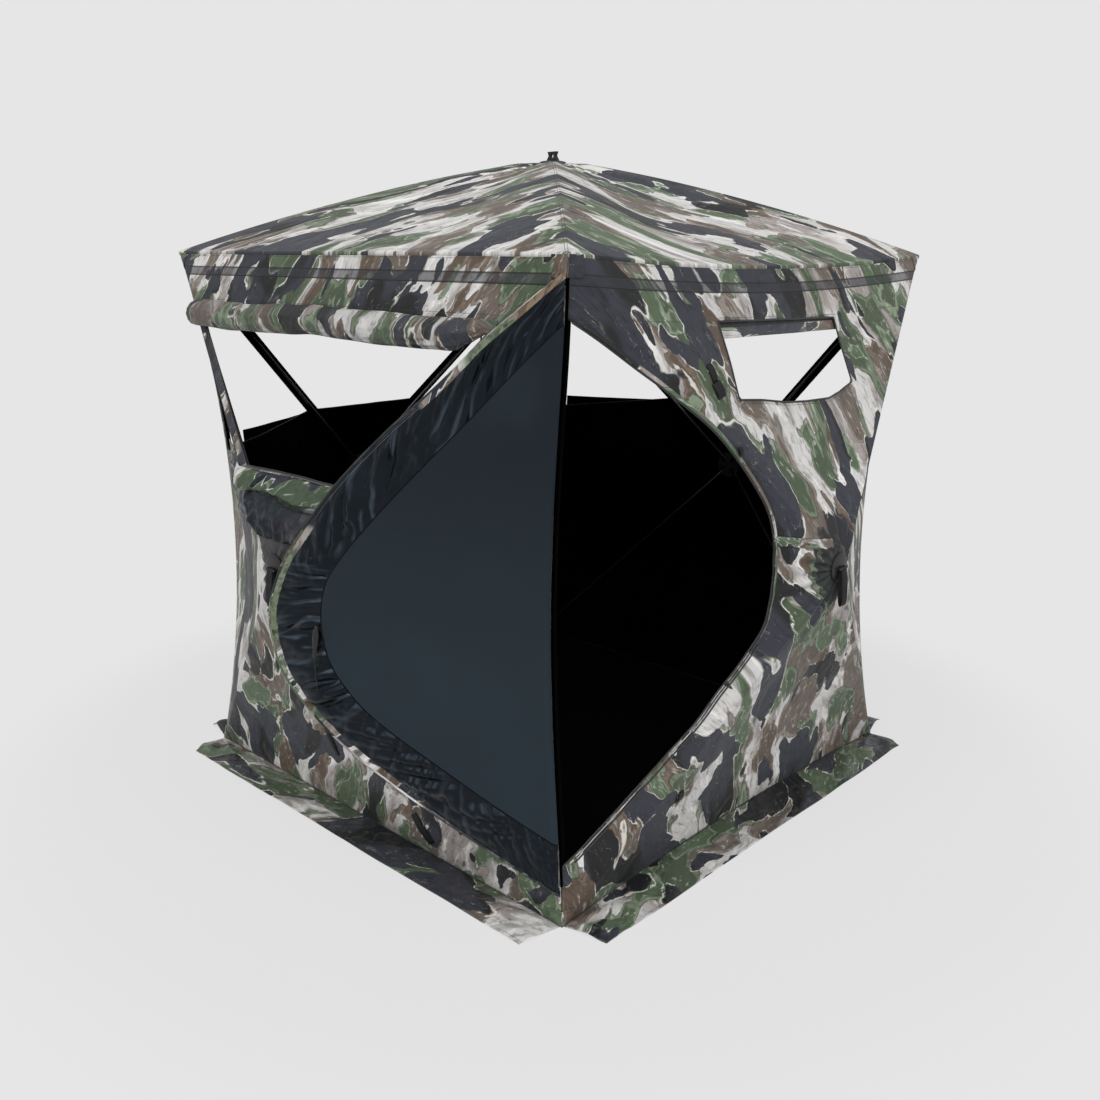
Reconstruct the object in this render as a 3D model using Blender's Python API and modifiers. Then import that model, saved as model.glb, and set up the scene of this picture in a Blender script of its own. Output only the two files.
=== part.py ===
"""A pop-up hub hunting blind: a fabric shell pushed out by five hubs and twenty poles.

Metres, +Z up, origin in the middle of the footprint on the ground. Each wall is worked out
facing +X, as (out, along, up), and turned about Z to its own side. The door is in the front
wall (+X), at the corner that it shares with the left wall (-Y).
"""

import math

import bmesh
import bpy
from mathutils import Matrix, Vector

# Shell
FOOT_HALF = 0.762            # half of the 60 inch footprint
EAVE_HALF = 0.774            # half of the width at the roof corners
EAVE_Z = 1.551               # height of the roof corners
APEX_Z = 1.801               # height of the fabric under the roof hub's cap
HUB_OUT = 1.002              # wall fabric at its hub, from the middle of the blind
HUB_Z = 0.785                # height of the wall hubs
FABRIC = 0.0025              # coated cloth with its lining
CORNER_PULL = 0.065          # how far the hubs draw a corner seam inwards, at half height
DOOR_SEAM_PULL = 0.030       # how far the left wall alone draws the door corner's seam
FRONT_EAVE_SAG = 0.028       # the door wall's eave hangs in the middle
RIDGE_BOW = 0.024            # rise of a bent roof pole at its middle
PANEL_BOW = 0.008            # rise of the roof cloth between two ridges
SEAM_INSET = 0.0022          # each wall stops this short of the corner line
RUNNING_GAP = 0.0003         # left between pieces that touch
WALL_TOP_GAP = 0.0031        # wall cloth below the roof's edge
LOOP_STEPS = 8               # divisions of each edge of a wall

# Hubs
HUB_R = 0.046
HUB_DEPTH = 0.0275
HUB_PLATE = 0.004            # solid face of the hub, next to the cloth
SLOT_HALF = 0.007
SLOT_START = 0.018           # where a pole slot begins, from the hub's axis
PIN_CIRCLE_R = 0.030
PIN_R = 0.0025
PIN_PLAY = 0.0003
PIN_ENDS = 0.0045            # how far the pin reaches into each cheek
PIN_DEPTH = FABRIC + RUNNING_GAP + HUB_PLATE + 0.0117
BOSS_R = 0.008
BOSS_PLAY = 0.0015           # play in the cloth's hole
BOSS_REACH = 0.0042          # boss above the cloth, inside the cap
CAP_R = 0.038
CAP_RIM = 0.0035
CAP_TOP = 0.0085
FLAT_SHARE = 0.07            # flat middle of a wall or of the roof, as a share of its width
BAR_HALF_DEEP = 0.0022       # flat bar across the cap, which the pull loop goes round
BAR_HALF_HIGH = 0.0020
BAR_SPAN = 0.0145            # half of the clear length between the bar's posts
POST_WIDTH = 0.005
BAR_RISE = 0.0108            # bar's axis above the cap's rim face
LOOP_WIDTH = 0.026           # webbing width
LOOP_LENGTH = 0.105
LOOP_THICK = 0.0020
BAIL_RISE = 0.028            # the roof cap's moulded bail, pinched at a waist
BAIL_FOOT_HALF = 0.024
BAIL_WAIST_HALF = 0.013
BAIL_WAIST_UP = 0.017
BAIL_TOP_HALF = 0.018
BAIL_THICK = 0.009
BAIL_EYE_HALF = 0.006
BAIL_EYE_LOW = 0.009         # bottom of the bail's eye above its root
BAIL_EYE_HIGH = 0.022
BAIL_ROOT = 0.004            # bail inside the cap

# Poles
ROD_R = 0.0045
FERRULE_R = 0.0060
FERRULE_LENGTH = 0.040
FERRULE_BACK = 0.008         # ferrule behind its pin
TIP_LENGTH = 0.025
TIP_CHAMFER = 0.003
WALL_TIP_SHORT = 0.070       # pole tip to the corner: room to pass through flat
ROOF_TIP_SHORT = 0.075
POLE_UNDER = 0.0030          # play between a pole's tip and the cloth above it

# Corners and skirts
CAP_EDGE = 0.026             # roof corner pocket
CAP_PROUD = 0.004
FOOT_EDGE = 0.036            # ground corner pocket
FOOT_PROUD = 0.006
FOOT_RISE = 0.016
POCKET_ROUND = 0.004
SKIRT_WIDTH = 0.118
SKIRT_TUCK = 0.006           # skirt inside the wall's hem
SKIRT_POCKET_GAP = 0.0048    # left between a skirt's end and the ground pocket
SKIRT_FLARE = 0.0078         # how much farther its outer edge reaches at each end
SKIRT_FLAT_FROM = 0.7        # share of its width beyond which a skirt lies flat
FRONT_HEM_RISE = 0.030       # the door wall's hem is drawn up in the middle

# Window band of the left, back and right walls
WINDOW_TOP = 1.385
SILL_MID = 1.015
SILL_CORNER = 0.965
SLEEVE_HALF = 0.017          # cloth left over each pole, to each side
EDGE_STRIP = 0.022           # cloth left beside each corner seam
ROLL_Z = 1.385               # rolled window cover
ROLL_OUT = 0.022             # half of its thickness
ROLL_UP = 0.038              # half of its height
ROLL_PLAY = 0.0006
ROLL_END_IN = 0.040          # how far it stays from a corner
ROLL_DOOR_END = 0.245        # and from the door corner, clear of the open leaf
DROP_FOLDS = ((1.008, 0.0), (0.998, 0.013), (0.984, 0.016), (0.970, 0.009), (0.950, 0.017),
              (0.922, 0.023), (0.893, 0.020), (0.862, 0.0))
#                              lower cover bunched below the sill: (height, stand-off)
DROP_THICK = 0.0030
DROP_PLAY = 0.0010
DROP_END = 0.085             # how far it stays from a corner
DROP_DOOR_END = 0.440

# Front window and its sliding cover
FRONT_WINDOW = ((-0.287, 1.397), (0.230, 1.389), (0.251, 1.222), (0.115, 1.192), (-0.085, 1.199),
                (-0.274, 1.220))
COVER_HALF = 0.288
COVER_Z = 1.372              # middle of the cover's hem at rest
COVER_HEIGHT = 0.022
COVER_THICK = 0.0020
COVER_PLAY = 0.0006

# Door, as (distance from the corner line, height)
OPENING = ((-0.045, 1.443), (0.379, 1.159), (0.534, 0.973), (0.588, 0.812), (0.548, 0.647),
           (0.412, 0.499), (-0.045, 0.138))
LEAF = ((0.002, 1.518), (0.579, 1.023), (0.740, 0.809), (0.785, 0.668), (0.710, 0.469),
        (0.592, 0.368), (0.002, 0.082))
LINING = ((0.006, 1.405), (0.463, 0.969), (0.612, 0.786), (0.632, 0.677), (0.551, 0.495),
          (0.371, 0.386), (0.006, 0.222))
LEAF_OFF_DEG = 4.0           # the open leaf stands this far off the left wall
HINGE_OUT = 0.0014           # hinge line outside the corner, in x and in y
LINING_THICK = 0.0012

SIDES = {"front": 0, "right": 90, "back": 180, "left": 270}
CORNERS = {"front_right": (1, 1), "back_right": (-1, 1), "back_left": (-1, -1),
           "front_left": (1, -1)}

for leftover in list(bpy.data.objects):
    bpy.data.objects.remove(leftover, do_unlink=True)

parts = bpy.data.collections.new("hunting_blind")
cutters = bpy.data.collections.new("cutters")
cutters.hide_render = True
bpy.context.scene.collection.children.link(parts)
bpy.context.scene.collection.children.link(cutters)


def finish(name, color, roughness, metallic=0.0):
    """A Principled material."""
    made = bpy.data.materials.new(name)
    made.use_nodes = True
    shader = made.node_tree.nodes["Principled BSDF"]
    shader.inputs["Base Color"].default_value = (*color, 1.0)
    shader.inputs["Roughness"].default_value = roughness
    shader.inputs["Metallic"].default_value = metallic
    return made


CAMO = finish("camo_cloth", (0.27, 0.26, 0.22), 0.75)
DARK_CAMO = finish("dark_camo_cloth", (0.12, 0.13, 0.12), 0.7)
BLACK_CLOTH = finish("black_cloth", (0.02, 0.02, 0.022), 0.55)
SLATE_CLOTH = finish("slate_lining", (0.02, 0.026, 0.032), 0.8)
BLACK_PLASTIC = finish("black_plastic", (0.015, 0.015, 0.016), 0.4)
WEBBING = finish("black_webbing", (0.02, 0.02, 0.02), 0.85)
ROD_FIBRE = finish("black_fibreglass", (0.03, 0.03, 0.03), 0.35)


def place(obj, material=None, parent=None, at=None, collection=parts):
    """Link an object, give it its material and its place."""
    collection.objects.link(obj)
    if collection is cutters:
        obj.hide_render = True
        obj.display_type = "WIRE"
    if material:
        obj.data.materials.clear()
        obj.data.materials.append(material)
    if parent:
        obj.parent = parent
    if at:
        obj.matrix_local = at
    return obj


def baked(obj, at=None):
    """The object's mesh as evaluated, closed, with its faces outwards, moved by a matrix."""
    bpy.context.view_layer.update()
    evaluated = obj.evaluated_get(bpy.context.evaluated_depsgraph_get())
    mesh = bpy.data.meshes.new_from_object(evaluated)
    work = bmesh.new()
    work.from_mesh(mesh)
    bmesh.ops.remove_doubles(work, verts=work.verts, dist=1e-6)
    work.transform(obj.matrix_world)
    if at:
        work.transform(at)
    bmesh.ops.recalc_face_normals(work, faces=work.faces)
    if work.calc_volume(signed=True) < 0:
        bmesh.ops.reverse_faces(work, faces=work.faces)
    work.to_mesh(mesh)
    work.free()
    bpy.data.objects.remove(obj, do_unlink=True)
    return mesh


def smooth(mesh):
    mesh.shade_smooth()
    mesh.set_sharp_from_angle(angle=math.radians(35))


def turned(name, profile, steps):
    """A mesh from a profile of (radius, height), top to bottom, screwed round Z."""
    mesh = bpy.data.meshes.new(name)
    points = [(r, 0, z) for r, z in profile]
    mesh.from_pydata(points, [(i, i + 1) for i in range(len(points) - 1)], [])
    obj = place(bpy.data.objects.new(name, mesh))
    screw = obj.modifiers.new("turn", "SCREW")
    screw.steps = screw.render_steps = steps
    screw.use_merge_vertices = True
    screw.merge_threshold = 1e-6
    return baked(obj)


def block(name, size, at, rounding=0.0):
    """A box mesh of this size about a matrix."""
    mesh = bpy.data.meshes.new(name)
    work = bmesh.new()
    bmesh.ops.create_cube(work, size=1.0)
    bmesh.ops.scale(work, vec=size, verts=work.verts)
    if rounding:
        bmesh.ops.bevel(work, geom=list(work.edges), offset=rounding, segments=2,
                        affect="EDGES", profile=0.5)
    work.transform(at)
    work.to_mesh(mesh)
    work.free()
    return mesh


def rod(name, radius, length, at, sides=12):
    """A cylinder mesh along Z about a matrix."""
    mesh = bpy.data.meshes.new(name)
    work = bmesh.new()
    bmesh.ops.create_cone(work, cap_ends=True, segments=sides, radius1=radius, radius2=radius,
                          depth=length)
    work.transform(at)
    work.to_mesh(mesh)
    work.free()
    return mesh


def joined(name, meshes):
    """Several closed meshes in one, as a cutter's separate bodies."""
    mesh = bpy.data.meshes.new(name)
    work = bmesh.new()
    for each in meshes:
        work.from_mesh(each)
    work.to_mesh(mesh)
    work.free()
    return mesh


def combine(obj, other_mesh, operation, at=None):
    """A live Boolean with a cutter made from other_mesh."""
    cutter = place(bpy.data.objects.new(obj.name + "_" + operation.lower(), other_mesh),
                   collection=cutters, at=at)
    step = obj.modifiers.new(cutter.name, "BOOLEAN")
    step.operation = operation
    step.object = cutter
    return cutter


def outline(name, points, thickness, curved=(), turn=6):
    """A flat piece in XY from an outline; the points whose index is in curved are smooth."""
    data = bpy.data.curves.new(name, "CURVE")
    data.dimensions = "2D"
    data.fill_mode = "BOTH"
    data.extrude = thickness / 2
    data.resolution_u = turn
    spline = data.splines.new("BEZIER")
    spline.bezier_points.add(len(points) - 1)
    for i, (knot, point) in enumerate(zip(spline.bezier_points, points)):
        knot.co = (*point, 0)
        soft = "AUTO" if i in curved else "VECTOR"
        knot.handle_left_type = knot.handle_right_type = soft
    spline.use_cyclic_u = True
    return baked(place(bpy.data.objects.new(name, data)))


# The shape of the cloth


def half_width(z):
    return FOOT_HALF + (EAVE_HALF - FOOT_HALF) * z / EAVE_Z


def seam(z, sign, side):
    """(out, along) of a wall's corner seam at a height, before the wall's own inset."""
    t = z / EAVE_Z
    drawn = 4 * t * (1 - t)
    half = half_width(z)
    lean = math.atan2(HUB_OUT - half, half)
    inwards = DOOR_SEAM_PULL * drawn * math.cos(lean)
    outwards = DOOR_SEAM_PULL * drawn * math.sin(lean)
    if (side, sign) == ("left", 1):
        return half + outwards, half - inwards
    if (side, sign) == ("front", -1):
        return half - inwards, -(half + outwards)
    drawn_in = half - CORNER_PULL * drawn
    return drawn_in, sign * drawn_in


def eave_sag(side, along):
    return (FRONT_EAVE_SAG if side == "front" else 0) * (1 - (along / EAVE_HALF) ** 2)


def hem_rise(side, along):
    return (FRONT_HEM_RISE if side == "front" else 0) * (1 - (along / FOOT_HALF) ** 2)


HEM_Z = FABRIC + 2 * RUNNING_GAP
CONE_OUT = HUB_OUT + (HUB_OUT - EAVE_HALF) * FLAT_SHARE / (1 - FLAT_SHARE)
CONE_Z = APEX_Z + (APEX_Z - EAVE_Z) * FLAT_SHARE / (1 - FLAT_SHARE)
FLAT_R = FLAT_SHARE * EAVE_HALF


def wall_edge(side):
    """The wall's outer edge, once round: eave, left seam, hem and right seam."""
    points = []
    for i in range(LOOP_STEPS):
        f = 1 - 2 * i / LOOP_STEPS
        along = f * (EAVE_HALF - SEAM_INSET)
        points.append((EAVE_HALF, along, EAVE_Z - WALL_TOP_GAP - eave_sag(side, along)))
    top, bottom = EAVE_Z - WALL_TOP_GAP, HEM_Z
    for i in range(LOOP_STEPS):
        z = top + (bottom - top) * i / LOOP_STEPS
        out, along = seam(z, -1, side)
        points.append((out, along + SEAM_INSET, z))
    for i in range(LOOP_STEPS):
        f = -1 + 2 * i / LOOP_STEPS
        along = f * (FOOT_HALF - SEAM_INSET)
        points.append((FOOT_HALF, along, HEM_Z + hem_rise(side, along)))
    for i in range(LOOP_STEPS):
        z = bottom + (top - bottom) * i / LOOP_STEPS
        out, along = seam(z, 1, side)
        points.append((out, along - SEAM_INSET, z))
    return points


def seam_reach(side, sign, z):
    """How far the wall reaches along, at a height."""
    return abs(seam(z, sign, side)[1]) - SEAM_INSET


def skin(side, along, z):
    """How far out a wall's cloth is at (along, z): its panels run straight to one point.

    A point's share says how far it lies from that point (0) towards the wall's edge (1). The
    upper or lower panel's share is found from the eave or hem, and a side panel's, where it is
    larger, by halving the interval that holds it.
    """
    sign = 1 if along >= 0 else -1
    rise = 1.0
    for _ in range(20):
        reach = along / rise
        top = EAVE_Z - WALL_TOP_GAP - eave_sag(side, reach)
        rise = (z - HUB_Z) / ((top if z > HUB_Z else HEM_Z + hem_rise(side, reach)) - HUB_Z)
    share = max(rise, 1e-6)
    low, high = share, 1.0
    for _ in range(30):
        share = (low + high) / 2
        out, reach = seam(HUB_Z + (z - HUB_Z) / share, sign, side)
        if share * abs(reach) > abs(along):
            high = share
        else:
            low = share
    if share <= rise * 1.0001:
        share, out = rise, (EAVE_HALF if z > HUB_Z else FOOT_HALF)
    return CONE_OUT + share * (out - CONE_OUT)


def pole_fold(z):
    """How far along the wall an upper pole's ridge lies, at a height."""
    return EAVE_HALF * (z - HUB_Z) / (EAVE_Z - HUB_Z)


def panel_lean():
    """Lean of the wall's upper panel from upright."""
    return math.atan2(CONE_OUT - EAVE_HALF, EAVE_Z - HUB_Z)


def turned_to(side):
    return Matrix.Rotation(math.radians(SIDES[side]), 4, "Z")


def lofted(name, rings, closed=True):
    """An open sheet through rings of points, facing away from the middle of the blind."""
    mesh = bpy.data.meshes.new(name)
    work = bmesh.new()
    rows = [[work.verts.new(point) for point in ring] for ring in rings]
    for row, following in zip(rows, rows[1:]):
        count = len(row) if closed else len(row) - 1
        for i in range(count):
            j = (i + 1) % len(row)
            work.faces.new((row[i], row[j], following[j], following[i]))
    work.normal_update()
    middle = Vector((0, 0, HUB_Z))
    if sum(f.normal.dot(f.calc_center_median() - middle) for f in work.faces) < 0:
        bmesh.ops.reverse_faces(work, faces=work.faces)
    work.to_mesh(mesh)
    work.free()
    return mesh


def thickened(obj, thickness):
    """Give a sheet its thickness on the side that faces the middle of the blind."""
    solid = obj.modifiers.new("cloth", "SOLIDIFY")
    solid.thickness = thickness
    solid.offset = -1.0
    return obj


# Cutters that several pieces share


def window_band(side):
    """Window openings between the corner strips, as outlines in (along, up)."""
    found = []
    low, high = pole_fold(SILL_MID), pole_fold(WINDOW_TOP)
    found.append([(-low + SLEEVE_HALF, SILL_MID), (low - SLEEVE_HALF, SILL_MID),
                  (high - SLEEVE_HALF, WINDOW_TOP), (-high + SLEEVE_HALF, WINDOW_TOP)])
    for sign in (-1, 1):
        strip = [(seam_reach(side, sign, z) - EDGE_STRIP, z)
                 for z in (SILL_CORNER, (SILL_CORNER + WINDOW_TOP) / 2, WINDOW_TOP)]
        found.append([(sign * along, z) for along, z in (
            (low + SLEEVE_HALF, SILL_MID), *strip, (high + SLEEVE_HALF, WINDOW_TOP))])
    return found


def through_wall(side, points, curved=()):
    """A cutter through a wall: an outline in (along, up), extruded outwards."""
    deep = 2 * (HUB_OUT - FOOT_HALF)
    mesh = outline("opening", points, deep, curved)
    upright = Matrix(((0, 0, 1, FOOT_HALF), (1, 0, 0, 0), (0, 1, 0, 0), (0, 0, 0, 1)))
    mesh.transform(turned_to(side) @ upright)
    return mesh


def pocket_box(corner, level):
    """(size, place) of the pocket at a roof or ground corner."""
    x, y = CORNERS[corner]
    if level == "roof":
        edge, outer, height = CAP_EDGE, EAVE_HALF + CAP_PROUD, CAP_EDGE
        z = EAVE_Z + CAP_PROUD - height / 2
    else:
        edge, outer, height = FOOT_EDGE, FOOT_HALF + FOOT_PROUD, FOOT_RISE
        z = height / 2
    middle = outer - edge / 2
    return (edge, edge, height), Matrix.Translation((x * middle, y * middle, z))


def pocket_clearance(level):
    """All four pockets of a level, grown by the gap that cloth keeps from them."""
    grown = []
    for corner in CORNERS:
        size, at = pocket_box(corner, level)
        grown.append(block("clear", [s + 2 * RUNNING_GAP for s in size], at))
    return joined(level + "_pockets", grown)


# Pockets at the corners, which the pole tips push into


for corner in CORNERS:
    for level, word in (("roof", "roof_corner_"), ("ground", "ground_corner_")):
        size, at = pocket_box(corner, level)
        mesh = block(word + corner, size, Matrix.Identity(4), POCKET_ROUND)
        smooth(mesh)
        place(bpy.data.objects.new(word + corner, mesh), BLACK_PLASTIC, at=at)


# Walls


def make_wall(side):
    edge = wall_edge(side)
    rings = [edge]
    for share in (0.6, 0.3, FLAT_SHARE):
        flat = share == FLAT_SHARE
        rings.append([(HUB_OUT if flat else CONE_OUT + (out - CONE_OUT) * share,
                       along * share, HUB_Z + (z - HUB_Z) * share) for out, along, z in edge])
    hole = []
    for _, along, z in edge:
        angle = math.atan2(z - HUB_Z, along)
        hole.append((HUB_OUT, (BOSS_R + BOSS_PLAY) * math.cos(angle),
                     HUB_Z + (BOSS_R + BOSS_PLAY) * math.sin(angle)))
    rings.append(hole)
    mesh = lofted("wall_" + side, rings)
    mesh.transform(turned_to(side))
    wall = thickened(place(bpy.data.objects.new("wall_" + side, mesh), CAMO), FABRIC)
    wall.modifiers.new("facets", "TRIANGULATE")
    openings = [pocket_clearance("roof"), pocket_clearance("ground")]
    if side == "front":
        door = [(distance * math.cos(leaf_lean()) - half_width(HUB_Z), z)
                for distance, z in OPENING]
        openings.append(through_wall(side, door, (1, 2, 3, 4, 5)))
        openings.append(through_wall(side, FRONT_WINDOW))
    else:
        openings += [through_wall(side, points) for points in window_band(side)]
    combine(wall, joined("wall_openings", openings), "DIFFERENCE")


def leaf_lean():
    """Angle between a wall's plane and its panel beside the corner."""
    return math.atan2(HUB_OUT - half_width(HUB_Z), half_width(HUB_Z))


for side in SIDES:
    make_wall(side)


# Roof


def make_roof():
    edge = []
    for side in ("front", "left", "back", "right"):
        for i in range(LOOP_STEPS):
            along = EAVE_HALF * (1 - 2 * i / LOOP_STEPS)
            point = Vector((EAVE_HALF, along, EAVE_Z - eave_sag(side, along)))
            edge.append(turned_to(side) @ point)
    rings = []
    for share in (1, 0.85, 0.6, 0.35, 0.15, FLAT_SHARE):
        ring = []
        for point in edge:
            ridge = abs(math.sin(2 * math.atan2(point.y, point.x))) ** 3
            bow = (PANEL_BOW + (RIDGE_BOW - PANEL_BOW) * ridge) * 4 * share * (1 - share)
            z = CONE_Z + (point.z - CONE_Z) * share + bow
            ring.append((point.x * share, point.y * share, APEX_Z if share == FLAT_SHARE else z))
        rings.append(ring)
    hole = BOSS_R + BOSS_PLAY
    angles = [math.atan2(point.y, point.x) for point in edge]
    rings.append([(hole * math.cos(a), hole * math.sin(a), APEX_Z) for a in angles])
    mesh = lofted("roof", rings)
    roof = thickened(place(bpy.data.objects.new("roof", mesh), CAMO), FABRIC)
    combine(roof, pocket_clearance("roof"), "DIFFERENCE")


make_roof()


# Skirts, spread flat on the ground outside the hem


def make_skirt(side):
    rows = []
    end = FOOT_HALF + FOOT_PROUD - FOOT_EDGE - SKIRT_POCKET_GAP
    for across in (0.0, SKIRT_FLAT_FROM / 2, SKIRT_FLAT_FROM, 1.0):
        row = []
        for i in range(LOOP_STEPS + 1):
            f = 1 - 2 * i / LOOP_STEPS
            reach = end + SKIRT_FLARE * across
            out = FOOT_HALF - SKIRT_TUCK + (SKIRT_WIDTH + SKIRT_TUCK) * across
            lift = hem_rise(side, f * reach) * max(0.0, 1 - across / SKIRT_FLAT_FROM)
            row.append((out, f * reach, lift))
        rows.append(row)
    mesh = lofted("skirt_" + side, rows, closed=False)
    mesh.transform(turned_to(side))
    thickened(place(bpy.data.objects.new("skirt_" + side, mesh), DARK_CAMO), FABRIC)


for side in SIDES:
    make_skirt(side)


# Window covers: one rolled up under the eave, one bunched below the sill


def make_roll(side):
    lean = panel_lean()
    reach = math.hypot(ROLL_OUT * math.cos(lean), ROLL_UP * math.sin(lean))
    stand_off = (reach + RUNNING_GAP) / math.cos(lean) + ROLL_PLAY
    fold = pole_fold(ROLL_Z)
    ends = []
    for sign in (-1, 1):
        short = ROLL_DOOR_END if (side, sign) == ("left", 1) else ROLL_END_IN
        ends.append(sign * (seam_reach(side, sign, ROLL_Z) - short))
    stops = [ends[0], -fold, 0.0, fold, ends[1]]
    stops = [s for s in stops if ends[0] <= s <= ends[1]]
    data = bpy.data.curves.new("window_roll_" + side, "CURVE")
    data.dimensions = "3D"
    data.bevel_depth = ROLL_OUT
    data.bevel_resolution = 2
    data.use_fill_caps = True
    spline = data.splines.new("POLY")
    spline.points.add(len(stops) - 1)
    for point, along in zip(spline.points, stops):
        point.co = (skin(side, along, ROLL_Z) + stand_off, along, 0, 1)
    upright = Matrix.Diagonal((1, 1, ROLL_UP / ROLL_OUT, 1))
    at = turned_to(side) @ Matrix.Translation((0, 0, ROLL_Z)) @ upright
    mesh = baked(place(bpy.data.objects.new("roll", data)), at)
    smooth(mesh)
    place(bpy.data.objects.new("window_roll_" + side, mesh), CAMO)


def make_drop(side):
    rows = []
    for z, bulge in DROP_FOLDS:
        row = []
        for sign in (-1, 1):
            short = DROP_DOOR_END if (side, sign) == ("left", 1) else DROP_END
            reach = seam_reach(side, sign, z) - short
            fold = pole_fold(z)
            stops = [fold / 2] + [fold + (reach - fold) * k / 4 for k in range(5)]
            half = [(skin(side, sign * stop, z) + DROP_PLAY + DROP_THICK + bulge, sign * stop, z)
                    for stop in stops]
            row += half if sign > 0 else half[::-1]
        rows.append(row)
    mesh = lofted("window_drop_" + side, rows, closed=False)
    mesh.transform(turned_to(side))
    thickened(place(bpy.data.objects.new("window_drop_" + side, mesh), DARK_CAMO), DROP_THICK)


for side in ("left", "back", "right"):
    make_roll(side)
    make_drop(side)


# Front window cover: a strip of cloth behind the top of the opening, let down a little


def make_cover():
    behind = (FABRIC + COVER_PLAY) / math.cos(panel_lean())
    rows = []
    for z in (COVER_Z + COVER_HEIGHT / 2, COVER_Z - COVER_HEIGHT / 2):
        stops = [COVER_HALF * (2 * i / LOOP_STEPS - 1) for i in range(LOOP_STEPS + 1)]
        rows.append([(skin("front", stop, z) - behind, stop, z) for stop in stops])
    mesh = lofted("front_window_cover", rows, closed=False)
    cover = place(bpy.data.objects.new("front_window_cover", mesh), DARK_CAMO)
    thickened(cover, COVER_THICK)


make_cover()


# Hubs, their caps and pull loops


def hub_body(angles):
    """A hub about +Z outwards, its cloth face at z = 0, with a slot and a pin for each pole."""
    top = -FABRIC - RUNNING_GAP
    bottom = top - HUB_DEPTH
    puck = rod("puck", HUB_R, HUB_DEPTH, Matrix.Translation((0, 0, (top + bottom) / 2)), 32)
    boss_low = top - HUB_PLATE / 2
    boss = rod("boss", BOSS_R, BOSS_REACH - boss_low,
               Matrix.Translation((0, 0, (BOSS_REACH + boss_low) / 2)), 16)
    slots, pins = [], []
    slot_top = top - HUB_PLATE
    slot_height = HUB_DEPTH
    slot_length = HUB_R
    for angle in angles:
        turn = Matrix.Rotation(angle, 4, "Z")
        slots.append(block("slot", (slot_length, 2 * SLOT_HALF, slot_height), turn
                           @ Matrix.Translation((SLOT_START + slot_length / 2, 0,
                                                 slot_top - slot_height / 2))))
        pins.append(rod("pin_hole", PIN_R + PIN_PLAY, 2 * (SLOT_HALF + PIN_ENDS + PIN_PLAY),
                        turn @ Matrix.Translation((PIN_CIRCLE_R, 0, -PIN_DEPTH))
                        @ Matrix.Rotation(math.pi / 2, 4, "X"), 10))
    body = place(bpy.data.objects.new("hub", puck))
    combine(body, boss, "UNION")
    combine(body, joined("slots", slots), "DIFFERENCE")
    combine(body, joined("pins", pins), "DIFFERENCE")
    mesh = baked(body)
    smooth(mesh)
    return mesh


def cap_body(with_bail):
    """The cap outside the cloth, about +Z: a wall cap has a bar for webbing, the roof's a bail."""
    bore = BOSS_R + RUNNING_GAP
    under = BOSS_REACH + RUNNING_GAP
    low = RUNNING_GAP
    profile = [(0, CAP_TOP), (0.45 * CAP_R, CAP_TOP - 0.0008), (0.8 * CAP_R, CAP_TOP - 0.0025),
               (CAP_R, low + CAP_RIM), (CAP_R, low), (bore, low), (bore, under), (0, under)]
    body = place(bpy.data.objects.new("cap", turned("cap", profile, 24)))
    if with_bail:
        bail = outline("bail", [
            (-BAIL_FOOT_HALF, 0), (BAIL_FOOT_HALF, 0), (BAIL_WAIST_HALF, BAIL_WAIST_UP),
            (BAIL_TOP_HALF, BAIL_RISE), (-BAIL_TOP_HALF, BAIL_RISE),
            (-BAIL_WAIST_HALF, BAIL_WAIST_UP)], BAIL_THICK)
        middle = (BAIL_EYE_LOW + BAIL_EYE_HIGH) / 2
        eye = outline("eye", [(0, BAIL_EYE_LOW), (BAIL_EYE_HALF, middle), (0, BAIL_EYE_HIGH),
                              (-BAIL_EYE_HALF, middle)], 2 * BAIL_THICK, (0, 1, 2, 3))
        upright = (Matrix.Translation((0, 0, CAP_TOP - BAIL_ROOT))
                   @ Matrix.Rotation(math.pi / 2, 4, "X"))
        bail.transform(upright)
        eye.transform(upright)
        combine(body, bail, "UNION")
        combine(body, eye, "DIFFERENCE")
    else:
        root, rise = low + CAP_RIM / 2, low + CAP_RIM + BAR_RISE
        outer = BAR_SPAN + POST_WIDTH
        staple = outline("staple", [
            (-outer, root), (-outer, rise + BAR_HALF_HIGH), (outer, rise + BAR_HALF_HIGH),
            (outer, root), (BAR_SPAN, root), (BAR_SPAN, rise - BAR_HALF_HIGH),
            (-BAR_SPAN, rise - BAR_HALF_HIGH), (-BAR_SPAN, root)], 2 * BAR_HALF_DEEP)
        staple.transform(Matrix(((0, 0, 1, 0), (1, 0, 0, 0), (0, 1, 0, 0), (0, 0, 0, 1))))
        combine(body, staple, "UNION")
    mesh = baked(body)
    smooth(mesh)
    return mesh


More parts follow.
